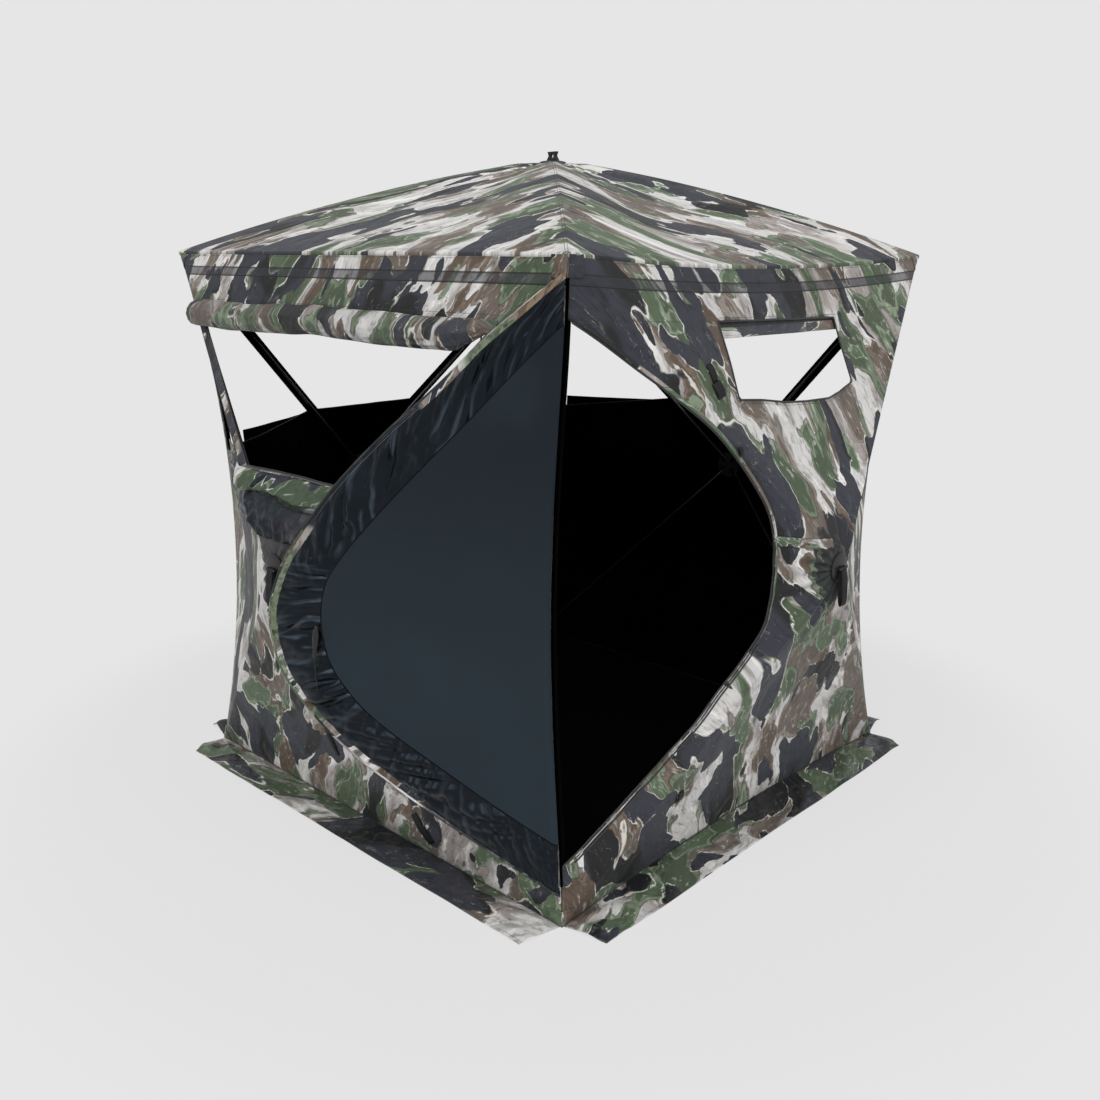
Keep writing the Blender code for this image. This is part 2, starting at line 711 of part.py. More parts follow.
def loop_body():
    """Webbing round the cap's bar, hanging along +X: a flat ring, its width along Y."""
    inner = math.hypot(BAR_HALF_DEEP, BAR_HALF_HIGH) + RUNNING_GAP
    outer = inner + LOOP_THICK
    ends = []
    for radius in (outer, inner):
        ends.append([(0, radius), (-radius * 0.71, radius * 0.71), (-radius, 0),
                     (-radius * 0.71, -radius * 0.71), (0, -radius),
                     (LOOP_LENGTH - outer, -radius),
                     (LOOP_LENGTH - outer + radius, 0), (LOOP_LENGTH - outer, radius)])
    data = bpy.data.curves.new("loop", "CURVE")
    data.dimensions = "2D"
    data.fill_mode = "BOTH"
    data.extrude = LOOP_WIDTH / 2
    for points in ends:
        spline = data.splines.new("POLY")
        spline.points.add(len(points) - 1)
        for knot, point in zip(spline.points, points):
            knot.co = (*point, 0, 1)
        spline.use_cyclic_u = True
    return baked(place(bpy.data.objects.new("loop", data)),
                 Matrix.Rotation(math.pi / 2, 4, "X"))


def pole_body(length, bow=0.0):
    """A pole about its own pin: the pin along Y, the rod along +X, bent upwards by bow."""
    steps = 8 if bow else 1
    start = FERRULE_LENGTH - FERRULE_BACK
    end = length - TIP_LENGTH
    profile = [(0, length), (ROD_R, length), (FERRULE_R, length - TIP_CHAMFER), (FERRULE_R, end)]
    profile += [(ROD_R, end + (start - end) * i / steps) for i in range(steps + 1)]
    profile += [(FERRULE_R, start), (FERRULE_R, -FERRULE_BACK), (0, -FERRULE_BACK)]
    mesh = turned("pole", profile, 8)
    mesh.transform(Matrix.Rotation(math.pi / 2, 4, "Y"))
    for vertex in mesh.vertices:
        f = min(max((vertex.co.x - start) / (end - start), 0), 1)
        vertex.co.z += bow * 4 * f * (1 - f)
    body = place(bpy.data.objects.new("pole", mesh))
    pin = rod("pin", PIN_R, 2 * (SLOT_HALF + PIN_ENDS), Matrix.Rotation(math.pi / 2, 4, "X"), 10)
    combine(body, pin, "UNION")
    made = baked(body)
    smooth(made)
    return made


def pole_lie(across, drop, short):
    """(length, angle) of a pole whose corner lies this far across and below its hub."""
    tip_across = across - short
    cloth = drop * (tip_across - FLAT_R) / (across - FLAT_R)
    tip_below = cloth + FABRIC + FERRULE_R + POLE_UNDER
    run, fall = tip_across - PIN_CIRCLE_R, tip_below - PIN_DEPTH
    return math.hypot(run, fall), math.atan2(fall, run)


def make_hub(name, at, corners, drops, short, bow, roof):
    """One hub with its four poles. corners are (x, y) about the hub's own outward axis."""
    empty = bpy.data.objects.new("hub_point_" + name, None)
    place(empty, at=at)
    angles = [math.atan2(y, x) for x, y in corners.values()]
    key = "roof" if roof else "wall"
    if key not in shared:
        shared[key] = hub_body(angles), cap_body(roof)
    hub_mesh, cap_mesh = shared[key]
    place(bpy.data.objects.new("hub_" + name, hub_mesh), BLACK_PLASTIC, empty)
    place(bpy.data.objects.new("hub_cap_" + name, cap_mesh), BLACK_PLASTIC, empty)
    if not roof:
        if "loop" not in shared:
            shared["loop"] = loop_body()
        lie = Matrix.Translation((0, 0, RUNNING_GAP + CAP_RIM + BAR_RISE))
        place(bpy.data.objects.new("pull_loop_" + name, shared["loop"]), WEBBING, empty, lie)
    for (word, (x, y)), drop in zip(corners.items(), drops):
        length, angle = pole_lie(math.hypot(x, y), drop, short)
        pole_key = round(length, 6)
        if pole_key not in shared:
            shared[pole_key] = pole_body(length, bow)
        turn = math.atan2(y, x)
        lie = (Matrix.Rotation(turn, 4, "Z")
               @ Matrix.Translation((PIN_CIRCLE_R, 0, -PIN_DEPTH))
               @ Matrix.Rotation(angle, 4, "Y"))
        place(bpy.data.objects.new("pole_" + name + "_" + word, shared[pole_key]), ROD_FIBRE,
              empty, lie)


shared = {}
up, down = EAVE_Z - HUB_Z, HUB_Z
for side in SIDES:
    outwards = (turned_to(side) @ Matrix.Translation((HUB_OUT, 0, HUB_Z))
                @ Matrix.Rotation(math.pi / 2, 4, "Y"))
    make_hub(side, outwards,
             {"upper_left": (-up, -EAVE_HALF), "upper_right": (-up, EAVE_HALF),
              "lower_left": (down, -FOOT_HALF), "lower_right": (down, FOOT_HALF)},
             (HUB_OUT - EAVE_HALF,) * 2 + (HUB_OUT - FOOT_HALF,) * 2,
             WALL_TIP_SHORT, 0.0, roof=False)
make_hub("roof", Matrix.Translation((0, 0, APEX_Z)),
         {word: (x * EAVE_HALF, y * EAVE_HALF) for word, (x, y) in CORNERS.items()},
         (APEX_Z - EAVE_Z,) * 4, ROOF_TIP_SHORT, RIDGE_BOW, roof=True)


# Door leaf, hinged on the corner line and folded back in front of the left wall


def hinge_frame(angle):
    """X away from the hinge at this heading in degrees, Y up the corner line."""
    foot = Vector((FOOT_HALF + HINGE_OUT, -FOOT_HALF - HINGE_OUT, 0))
    head = Vector((EAVE_HALF + HINGE_OUT, -EAVE_HALF - HINGE_OUT, EAVE_Z))
    rise = (head - foot).normalized()
    heading = Vector((math.cos(math.radians(angle)), math.sin(math.radians(angle)), 0))
    away = (heading - heading.dot(rise) * rise).normalized()
    face = away.cross(rise)
    return Matrix.Translation(foot) @ Matrix((away, rise, face)).transposed().to_4x4()


def make_door():
    heading = 180 + math.degrees(leaf_lean()) + LEAF_OFF_DEG
    pivot = bpy.data.objects.new("door_hinge", None)
    place(pivot, at=hinge_frame(heading))
    leaf = outline("door_leaf", LEAF, FABRIC, (2, 3, 4))
    lining = outline("door_lining", LINING, LINING_THICK, (1, 2, 3, 4, 5))
    proud = FABRIC / 2 + RUNNING_GAP + LINING_THICK / 2
    place(bpy.data.objects.new("door_leaf", leaf), BLACK_CLOTH, pivot)
    place(bpy.data.objects.new("door_lining", lining), SLATE_CLOTH, pivot,
          Matrix.Translation((0, 0, -proud)))


make_door()
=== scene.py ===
"""A pop-up hub hunting blind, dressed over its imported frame.

Everything is in metres, in the frame's own place. A wall is worked out as (out, along, up),
facing +X, and is then turned about Z to its side: front +X with the door, left -Y, back -X and
right +Y. The cloth is drawn as grids of points from a few formulas, with printed, stitched and
creased materials.
"""

import math

import bmesh
import bpy
import numpy as np
from mathutils import Matrix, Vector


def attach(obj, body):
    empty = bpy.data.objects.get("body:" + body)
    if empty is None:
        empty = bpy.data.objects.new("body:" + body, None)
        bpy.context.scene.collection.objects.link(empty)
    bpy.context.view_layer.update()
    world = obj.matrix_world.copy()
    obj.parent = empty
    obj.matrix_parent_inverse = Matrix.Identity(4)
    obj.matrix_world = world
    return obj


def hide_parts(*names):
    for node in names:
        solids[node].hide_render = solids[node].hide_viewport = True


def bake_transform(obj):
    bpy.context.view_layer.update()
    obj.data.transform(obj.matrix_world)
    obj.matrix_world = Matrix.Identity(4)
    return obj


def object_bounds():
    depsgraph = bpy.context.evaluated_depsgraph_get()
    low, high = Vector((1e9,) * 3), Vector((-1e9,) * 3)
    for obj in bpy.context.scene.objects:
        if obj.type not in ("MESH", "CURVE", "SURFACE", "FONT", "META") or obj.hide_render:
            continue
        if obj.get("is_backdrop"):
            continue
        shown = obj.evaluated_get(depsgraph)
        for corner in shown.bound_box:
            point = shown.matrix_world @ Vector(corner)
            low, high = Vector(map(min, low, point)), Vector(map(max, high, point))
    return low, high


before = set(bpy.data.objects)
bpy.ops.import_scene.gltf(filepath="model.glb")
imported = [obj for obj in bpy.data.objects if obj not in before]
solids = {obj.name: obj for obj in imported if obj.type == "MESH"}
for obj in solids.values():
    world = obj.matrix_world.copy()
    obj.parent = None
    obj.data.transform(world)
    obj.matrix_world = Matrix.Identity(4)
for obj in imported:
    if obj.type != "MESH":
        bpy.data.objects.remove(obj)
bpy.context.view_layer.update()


# Studio: a plain pale floor that keeps the blind's shadow, a plain pale backdrop, and two broad
# soft lights. The camera stands where the photographer's stood.


def linear(red, green, blue):
    """A colour given in sRGB bytes."""
    share = np.array((red, green, blue)) / 255
    made = np.where(share <= 0.04045, share / 12.92, ((share + 0.055) / 1.055) ** 2.4)
    return (*made.tolist(), 1.0)


class Value:
    """A socket of a material, so that sums of sockets read as formulas."""

    def __init__(self, finish, socket):
        self.finish = finish
        self.socket = socket

    def math(self, operation, *others):
        """A Math node's result for this value and others."""
        sockets = dict(enumerate((self, *others)))
        return self.finish.add("Math", sockets, operation=operation)

    def __add__(self, other):
        return self.math("ADD", other)

    def __sub__(self, other):
        return self.math("SUBTRACT", other)

    def __rsub__(self, other):
        return self.math("MULTIPLY", -1.0).math("ADD", other)

    def __mul__(self, other):
        return self.math("MULTIPLY", other)

    __radd__ = __add__
    __rmul__ = __mul__

    def between(self, low, high):
        """0 up to low, 1 from high, and a smooth rise from one to the other."""
        return self.finish.add("MapRange", {0: self, 1: low, 2: high},
                               interpolation_type="SMOOTHSTEP")

    def near(self, level, width):
        """1 where the value is at a level, 0 where it is a width away from it."""
        return (self - level).math("ABSOLUTE").between(width, width * 0.4)


class Finish:
    """A Principled material while it is made. Constant settings go on the shader's own sockets."""

    def __init__(self, name, constants):
        self.material = bpy.data.materials.new(name)
        self.material.use_nodes = True
        self.tree = self.material.node_tree
        self.shader = self.tree.nodes["Principled BSDF"]
        self.put(self.shader, constants)

    def put(self, made, sockets):
        """Links values to a node's sockets, and writes numbers and colours into them."""
        for key, value in sockets.items():
            if isinstance(value, Value):
                self.tree.links.new(value.socket, made.inputs[key])
            else:
                made.inputs[key].default_value = value

    def add(self, kind, sockets, result=0, **settings):
        """One node of a kind, with its settings and what goes into its sockets."""
        made = self.tree.nodes.new("ShaderNode" + kind)
        for key, value in settings.items():
            setattr(made, key, value)
        self.put(made, sockets)
        return Value(self, made.outputs[result])

    def uv(self, name):
        """The place on one of the mesh's UV maps."""
        return self.add("UVMap", {}, uv_map=name)

    def part(self, vector, axis):
        """A vector's x, y or z."""
        return self.add("SeparateXYZ", {0: vector}, result=axis)

    def moved(self, vector, scale, shift):
        """The vector times scale, plus shift."""
        return self.add("VectorMath", {0: vector, 1: scale, 2: shift}, operation="MULTIPLY_ADD")

    def noise(self, vector, scale, detail=2.0, roughness=0.5, result=0):
        """Noise about 0.5, scale lumps to a unit, or as a colour with result 1."""
        sockets = {"Vector": vector, "Scale": scale, "Detail": detail, "Roughness": roughness}
        return self.add("TexNoise", sockets, result=result)

    def mix(self, first, second, share):
        """The first colour at share 0, the second at 1."""
        return self.add("Mix", {0: share, 6: first, 7: second}, result=2, data_type="RGBA")

    def finished(self, colour, roughness, height):
        """Ends the material. height is the relief in metres."""
        normal = self.add("Bump", {"Height": height, "Distance": 1.0})
        self.put(self.shader, {"Base Color": colour, "Roughness": roughness, "Normal": normal})
        return self.material


def aim(azimuth, elevation):
    """The direction from the blind to something at this bearing; 0 is towards -Y, 90 is +X."""
    turn, rise = math.radians(azimuth), math.radians(elevation)
    return np.array((math.sin(turn) * math.cos(rise), -math.cos(turn) * math.cos(rise),
                     math.sin(rise)))


def light(name, azimuth, elevation, strength, softness):
    """A sun at a bearing; its disc is softness degrees wide."""
    sun = bpy.data.lights.new(name, "SUN")
    sun.energy = strength
    sun.angle = math.radians(softness)
    lamp = bpy.data.objects.new(name, sun)
    away = aim(azimuth, elevation)
    side = np.cross((0, 0, 1), away)
    side /= np.linalg.norm(side)
    axes = np.column_stack((side, np.cross(away, side), away))
    lamp.matrix_world = Matrix(axes.tolist()).to_4x4()
    bpy.context.scene.collection.objects.link(lamp)


light("key_light", azimuth=12, elevation=48, strength=1.7, softness=50)
light("fill_light", azimuth=88, elevation=36, strength=1.15, softness=60)

world = bpy.data.worlds.new("studio")
bpy.context.scene.world = world
world.use_nodes = True
sky = world.node_tree.nodes["Background"]
sky.inputs["Color"].default_value = (1, 1, 1, 1)
sky.inputs["Strength"].default_value = 0.62
paper = world.node_tree.nodes.new("ShaderNodeBackground")
paper.inputs["Color"].default_value = linear(230, 230, 230)
seen = world.node_tree.nodes.new("ShaderNodeLightPath")
choice = world.node_tree.nodes.new("ShaderNodeMixShader")
world.node_tree.links.new(seen.outputs["Is Camera Ray"], choice.inputs[0])
world.node_tree.links.new(sky.outputs[0], choice.inputs[1])
world.node_tree.links.new(paper.outputs[0], choice.inputs[2])
world.node_tree.links.new(choice.outputs[0], world.node_tree.nodes["World Output"].inputs[0])

camera = bpy.data.objects.new("camera", bpy.data.cameras.new("camera"))
camera.data.lens = 35.557
camera.data.sensor_width = 36.0
bearing, tilt, roll = 43.392, 15.180, math.radians(0.288)
back = aim(bearing, tilt)
level = np.array((math.cos(math.radians(bearing)), math.sin(math.radians(bearing)), 0))
upright = np.cross(back, level)
looked_at, distance = np.array((0, 0, 0.6392)) - 0.0026 * level, 3.4564
spot = looked_at + distance * back
columns = (level * math.cos(roll) + upright * math.sin(roll),
           upright * math.cos(roll) - level * math.sin(roll), back, spot)
camera.matrix_world = Matrix([[*row] for row in np.column_stack(columns)] + [[0, 0, 0, 1]])
bpy.context.scene.collection.objects.link(camera)
bpy.context.scene.camera = camera
bpy.context.scene.view_settings.view_transform = "Standard"


def grid(rows, columns, around=False):
    """Quads that join a grid of points, row after row, and last column to first if around."""
    index = np.arange(rows * columns).reshape(rows, columns)
    if around:
        index = np.column_stack((index, index[:, 0]))
    return np.stack((index[:-1, :-1], index[:-1, 1:], index[1:, 1:], index[1:, :-1]),
                    axis=-1).reshape(-1, 4)


def piece(name, points, faces, finishes, maps=None, slots=None, smooth=True):
    """An object from arrays. A face whose fourth index is -1 is a triangle. maps holds UV layers,
    each with a place per point or per corner."""
    faces = [face[:3] if face[3] < 0 else face for face in np.asarray(faces).tolist()]
    mesh = bpy.data.meshes.new(name)
    mesh.from_pydata(np.asarray(points).reshape(-1, 3).tolist(), [], faces)
    corners = np.zeros(len(mesh.loops), np.int32)
    mesh.loops.foreach_get("vertex_index", corners)
    for key, place in (maps or {}).items():
        place = np.asarray(place, np.float32).reshape(-1, 2)
        if len(place) == len(mesh.vertices):
            place = place[corners]
        mesh.uv_layers.new(name=key).data.foreach_set("uv", place.ravel())
    for finish in finishes:
        mesh.materials.append(finish)
    if slots is not None:
        mesh.polygons.foreach_set("material_index", np.asarray(slots, np.int32))
    if smooth:
        mesh.shade_smooth()
    mesh.update()
    made = bpy.data.objects.new(name, mesh)
    bpy.context.scene.collection.objects.link(made)
    return made


# The floor: pale paper, lit by the lamps near the blind and as even as the backdrop farther off.
# Under the blind it is painted black, as the photograph's interior is: painted shade.
FLOOR = 9.0
floor = piece("floor", FLOOR * np.array(((-1, -1, 0), (1, -1, 0), (1, 1, 0), (-1, 1, 0))),
              [(0, 1, 2, 3)], [], smooth=False)
paper_finish = Finish("floor_paper", {"Specular IOR Level": 0.0, "Roughness": 1.0})
here = paper_finish.add("TexCoord", {}, result="Object")
across = paper_finish.part(here, 0).math("ABSOLUTE")
along = paper_finish.part(here, 1).math("ABSOLUTE")
# Painted shade: a black square on the floor under the blind, where its inside lies in shade.
under = across.math("MAXIMUM", along).between(0.7625, 0.7605)
away = paper_finish.add("VectorMath", {0: here}, result="Value", operation="LENGTH")
tone = paper_finish.mix((0.556, 0.556, 0.556, 1), (0.004, 0.004, 0.004, 1), under)
paper_finish.put(paper_finish.shader, {"Base Color": tone})
glow = paper_finish.add("Emission", {"Color": linear(230, 230, 230)})
shown = (away.between(1.40, 2.0) * 0.20 + 0.80) * (1 - under)
far = paper_finish.add("MixShader", {0: shown,
                                     1: Value(paper_finish, paper_finish.shader.outputs[0]),
                                     2: glow})
paper_finish.tree.links.new(far.socket,
                            paper_finish.tree.nodes["Material Output"].inputs["Surface"])
floor.data.materials.append(paper_finish.material)
floor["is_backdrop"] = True


# Cloth: a coated polyester, printed outside with a camouflage of layered ragged patches and
# coated matt black inside. The print is generic: its motifs and layout are this file's own.


def camouflage(cloth, place, seed, depth=1.0, lean=0.0, more=0.0):
    """Layered patches over pale bark, at a place in metres of cut cloth.

    The place is turned by lean, the way in which the patches run, and wanders. Each layer is one
    noise, stretched that way and cut off at a level, so its patches have crisp ragged edges. A
    thin line follows where a noise just passes its level. depth darkens the whole, and more lets
    the dark patches grow.
    """
    turned = cloth.add("Mapping", {"Vector": place, "Rotation": (0, 0, lean),
                                   "Location": (seed * 1.7, seed * 2.3, seed * 0.9)})
    wander = cloth.noise(turned, 2.4, 1.0, result=1)
    bent = cloth.moved(wander, (0.30, 0.22, 0), turned)
    fray = cloth.noise(bent, 15.0, 3.0, 0.6, result=1)
    bent = cloth.moved(fray, (0.052, 0.030, 0), bent)

    def patches(number, per_metre, cut):
        """(noise, 0 or 1): where a layer's own noise passes its cut."""
        at = cloth.moved(bent, (*per_metre, 0), (number * 3.1, number * 5.3, number * 1.7))
        found = cloth.noise(at, 1.0, 2.0, 0.5) + more
        return found, found.between(cut - 0.003, cut + 0.003)

    strokes = cloth.noise(cloth.moved(bent, (9, 40, 0), (0, 0, seed)), 1.0, 4.0, 0.62)
    bark = cloth.noise(cloth.moved(bent, (26, 80, 0), (5, 0, seed)), 1.0, 4.0, 0.66)
    wash = cloth.noise(cloth.moved(bent, (3.0, 6.5, 0), (9, 2, seed)), 1.0, 2.0, 0.5)
    colour = cloth.mix(linear(142, 135, 132), linear(188, 186, 184), wash.between(0.40, 0.52))
    colour = cloth.mix(colour, linear(224, 224, 221), strokes.between(0.52, 0.66) * 0.6)
    colour = cloth.mix(colour, linear(104, 97, 93), strokes.between(0.46, 0.32) * 0.6)
    for number, per_metre, cut, first, second, rim in (
        (1, (2.9, 6.6), 0.545, (128, 119, 112), (94, 84, 76), (84, 78, 72)),
        (2, (4.2, 9.6), 0.592, (106, 91, 78), (82, 69, 58), (60, 53, 46)),
        (3, (2.8, 6.4), 0.570, (99, 110, 90), (63, 77, 56), (50, 56, 44)),
        (4, (4.0, 8.8), 0.596, (116, 129, 108), (75, 91, 68), (56, 62, 50)),
    ):
        found, patch = patches(number, per_metre, cut)
        tone = cloth.mix(linear(*first), linear(*second), found.between(cut + 0.018, cut + 0.030))
        tone = cloth.mix(tone, linear(168, 164, 154), strokes.between(0.60, 0.72) * 0.5)
        colour = cloth.mix(colour, tone, patch)
        colour = cloth.mix(colour, linear(*rim), found.near(cut, 0.006) * 0.7)
    colour = cloth.mix(colour, linear(62, 58, 52), bark.between(0.53, 0.66) * 0.55)
    colour = cloth.mix(colour, linear(206, 204, 198), bark.between(0.43, 0.33) * 0.40)
    blot, patch = patches(5, (2.6, 6.0), 0.574)
    second, tongue = patches(6, (4.0, 10.2), 0.600)
    dark = patch.math("MAXIMUM", tongue)
    halo = blot.near(0.566, 0.006) * strokes.between(0.47, 0.50)
    halo = halo.math("MAXIMUM", second.near(0.592, 0.006) * strokes.between(0.50, 0.53))
    halo = halo * (1 - dark)
    colour = cloth.mix(colour, linear(208, 206, 200), halo * 0.8)
    slate = cloth.mix(linear(17, 18, 20), linear(43, 45, 54), wash.between(0.44, 0.50))
    slate = cloth.mix(slate, linear(12, 12, 14), bark.between(0.52, 0.66) * 0.5)
    colour = cloth.mix(colour, slate, dark)
    fleck = strokes.near(0.585, 0.008) * bark.between(0.50, 0.54)
    colour = cloth.mix(colour, linear(150, 148, 142), fleck * dark * 0.5)
    if depth < 1:
        colour = cloth.mix(colour, linear(14, 16, 20), 1 - depth)
    return colour, bark


def weave(cloth, place):
    """Relief of a fine plain weave: threads 1.1 mm apart, over and under by turns."""
    two_threads, height = 0.0022, 0.00004
    across, along = [(cloth.part(place, axis) * (2 * math.pi / two_threads)).math("SINE")
                     for axis in (0, 1)]
    return across * along * height


def creases(cloth, place, seed, size, height):
    """Relief of soft creases about size metres apart, some of them pressed sharp."""
    at = cloth.moved(place, (1 / size, 1 / size, 0), (seed, 3.7, seed * 2.1))
    soft = cloth.noise(at, 1.0, 3.0, 0.55)
    sharp = (cloth.noise(at, 0.6, 2.0, 0.5) - 0.5).math("ABSOLUTE").between(0.0, 0.10)
    return soft * height + sharp * (height * 0.25)


def stitches(cloth, gap, run, width=0.0011, pitch=0.005):
    """A row of stitches: dashes where gap, a distance from the row, is 0, along run."""
    dash = (run * (2 * math.pi / pitch)).math("SINE").between(-0.6, -0.2)
    return gap.near(0.0, width) * dash


def plain_cloth(name, colour, seed, roughness=0.6, size=0.05, height=0.004, sheen=0.1,
                gloss=0.45):
    """An unprinted coated cloth, mapped by its own cut: worn and dusty places are lighter."""
    cloth = Finish(name, {"Sheen Weight": sheen, "Sheen Roughness": 0.4,
                          "Specular IOR Level": gloss})
    place = cloth.uv("cut")
    worn = cloth.noise(cloth.moved(place, (7, 7, 0), (seed, 0, seed)), 1.0, 4.0, 0.6)
    dust = cloth.noise(cloth.moved(place, (160, 160, 0), (seed, 5, 0)), 1.0, 2.0, 0.6)
    lighter = [min(1.0, c * 1.9 + 0.0005) for c in colour[:3]] + [1.0]
    share = worn.between(0.45, 0.75) * 0.5 + dust.between(0.55, 0.8) * 0.3
    tone = cloth.mix(colour, lighter, share)
    relief = creases(cloth, place, seed=seed, size=size, height=height) + weave(cloth, place)
    return cloth.finished(tone, worn * 0.16 + (roughness - 0.08), relief)


black_inside = plain_cloth("black_coating", linear(2, 2, 2), seed=3.0, roughness=0.9, size=0.09,
                           sheen=0.0, gloss=0.03)


# Walls: each is one sewn panel, pushed out by its hub, so its cloth runs straight from the hub
# to every edge and folds over the four poles. Window bands are cut into three of them, and the
# door's opening and a small window into the front one.

TURN = {"front": 0, "right": 90, "back": 180, "left": 270}
WINDOW_WALLS = ("left", "back", "right")
HUB_OUT, HUB_UP = 1.002, 0.785  # a wall hub's distance from the middle, and its height
EAVE_HALF, EAVE_UP = 0.774, 1.551  # half the width at the roof corners, and their height
HEM_HALF = 0.762  # half the width on the ground
POLE_RISE = 0.766  # from a wall hub up to a roof corner
ROOF_UP = 1.801  # the roof hub's height
CLOTH_TOP = 1.5479  # the walls' upper edge, under the roof's
CLOTH_PEAK = 1.0192  # where a wall's four straight panels would meet
CLOTH_THICK = 0.0012
SEAM_GAP = 0.0022  # from a corner's line to the edge of either wall
SEAM_BOW = 0.065  # how far the hubs draw a corner's seam in, towards both of its walls
DOOR_BOW = 0.030  # how far the left wall's hub draws the door's seam in, along that wall
SILL_UP, WINDOW_TOP = 1.015, 1.385
EAVE_DROP = {"front": 0.028}  # how far an eave sags in the middle
HEM_LIFT = {"front": 0.030}  # how far a hem rises in the middle
CANVAS = {"Sheen Weight": 0.06, "Sheen Roughness": 0.35, "Specular IOR Level": 0.35}
THREAD = linear(44, 42, 40)


def ripple(seed, size, *axes):
    """Smooth irregular waves, about size metres long, from about -1 to 1.

    Seven sine waves of unlike length run in directions of their own and are added.
    """
    chance = np.random.default_rng(seed)
    total = 0.0
    for _ in range(7):
        heading = chance.normal(size=len(axes))
        heading /= np.linalg.norm(heading)
        length = size * chance.uniform(0.7, 1.6)
        phase = sum(h * axis for h, axis in zip(heading, axes)) * 2 * math.pi / length
        total = total + np.sin(phase + chance.uniform(0, 2 * math.pi))
    return total / 3.4


def rise(value, low, high):
    """0 up to low, 1 from high, and a smooth rise from one to the other."""
    share = np.clip((value - low) / (high - low), 0, 1)
    return share * share * (3 - 2 * share)


def corner_line(side, sign, up):
    """(out, along) of the wall's corner seam, which the hubs beside it draw inwards.

    The pull is a parabola in the height. At the door's corner only the left wall's hub pulls, so
    the seam goes in along the left wall's own panel, by the square of that parabola.
    """
    share = up / EAVE_UP
    drawn = 4 * share * (1 - share)
    half = HEM_HALF + 0.012 * share
    lean = np.arctan2(HUB_OUT - half, half)
    bow = DOOR_BOW * drawn ** 2
    over, under = bow * np.sin(lean), bow * np.cos(lean)
    out = along = half - SEAM_BOW * drawn
    if side == "left":
        out, along = np.where(sign > 0, half + over, out), np.where(sign > 0, half - under, along)
    if side == "front":
        out, along = np.where(sign < 0, half - under, out), np.where(sign < 0, half + over, along)
    return out, along


def eave_height(side, along):
    """Height of a wall's upper edge, which sags as a parabola."""
    return CLOTH_TOP - EAVE_DROP.get(side, 0) * (1 - (along / EAVE_HALF) ** 2)


def hem_height(side, along):
    """Height of a wall's lower edge, which rises as a parabola."""
    return 0.0031 + HEM_LIFT.get(side, 0) * (1 - (along / HEM_HALF) ** 2)


def gauge(side, along, up):
    """(share, out): how far from hub (0) to edge (1) a point of the wall lies, and how far out.

    The upper or lower panel's share follows from the eave or hem above or below it. The share on
    a side panel is found by halving, because the seam bends, and the larger of the two holds.
    """
    along, up = np.broadcast_arrays(np.asarray(along, float), np.asarray(up, float))
    sign = np.where(along >= 0, 1, -1)
    share = np.ones_like(up)
    for _ in range(12):
        reach = np.clip(along / share, -EAVE_HALF, EAVE_HALF)
        edge = np.where(up > HUB_UP, eave_height(side, reach), hem_height(side, reach))
        share = np.maximum((up - HUB_UP) / (edge - HUB_UP), 1e-3)
    low, high = share, np.maximum(share, 1.03)
    for _ in range(22):
        middle = (low + high) / 2
        _, reach = corner_line(side, sign, np.clip(HUB_UP + (up - HUB_UP) / middle, 0, EAVE_UP))
        wide = middle * (reach - SEAM_GAP) > np.abs(along)
        low, high = np.where(wide, low, middle), np.where(wide, middle, high)
    beside = low > share * 1.001
    share = np.where(beside, low, share)
    edge, _ = corner_line(side, sign, np.clip(HUB_UP + (up - HUB_UP) / share, 0, EAVE_UP))
    edge = np.where(beside, edge, np.where(up > HUB_UP, EAVE_HALF, HEM_HALF))
    return share, np.minimum(CLOTH_PEAK + share * (edge - CLOTH_PEAK), HUB_OUT)


def pole_gap(along, up):
    """Distance in the wall's plane to the nearest of its four poles."""
    rise_to = np.where(up > HUB_UP, POLE_RISE, -HUB_UP)
    reach = np.where(up > HUB_UP, EAVE_HALF, HEM_HALF)
    length = np.hypot(rise_to, reach)
    return np.abs(np.abs(along) * rise_to - (up - HUB_UP) * reach) / length


def slack(side, along, up, share):
    """How far the cloth stands off its straight panels: folds that fan out from the hub, a soft
    hollow in each panel between two poles, and waves that fade out at the seams and poles."""
    seed = TURN[side]
    angle = np.arctan2(up - HUB_UP, along)
    free = rise(pole_gap(along, up), 0.0, 0.07) * rise(1 - share, 0.0, 0.06)
    fan = np.sin(17 * angle + 2.2 * np.sin(2 * angle + seed)) * rise(share, 0.03, 0.09)
    stand = 0.0042 * fan * (1 - rise(share, 0.10, 0.34))
    rays = ripple(seed + 1, 0.8, angle * 1.4, share * 0.35)
    stand = stand + 0.0055 * rays * free * rise(share, 0.15, 0.4)
    stand = stand - 0.010 * rise(pole_gap(along, up), 0.0, 0.28) * rise(1 - share, 0.0, 0.3)
    return stand + 0.0022 * ripple(seed + 2, 0.16, along, up) * free


def placed(side, out, along, up):
    """World points of (out, along, up): the wall's own frame, turned about Z to its side."""
    turn = math.radians(TURN[side])
    x = out * math.cos(turn) - along * math.sin(turn)
    y = out * math.sin(turn) + along * math.cos(turn)
    return np.stack(np.broadcast_arrays(x, y, up), axis=-1)


def on_wall(side, along, up, stand=0.0):
    """World points on a wall's cloth, standing off it outwards."""
    share, out = gauge(side, along, up)
    return placed(side, out + slack(side, along, up, share) + stand, along, up)


def from_wall(side, points):
    """(out, along, up) of world points."""
    turn = math.radians(TURN[side])
    x, y = points[:, 0], points[:, 1]
    return (x * math.cos(turn) + y * math.sin(turn), y * math.cos(turn) - x * math.sin(turn),
            points[:, 2])


def weigh(weights):
    """Turns the weights into a flat list of floats and keeps them nowhere. A weight is how far a
    point of a blended piece would go with the second of its two bodies.
    """
    weights = weights.astype(np.float32).ravel()


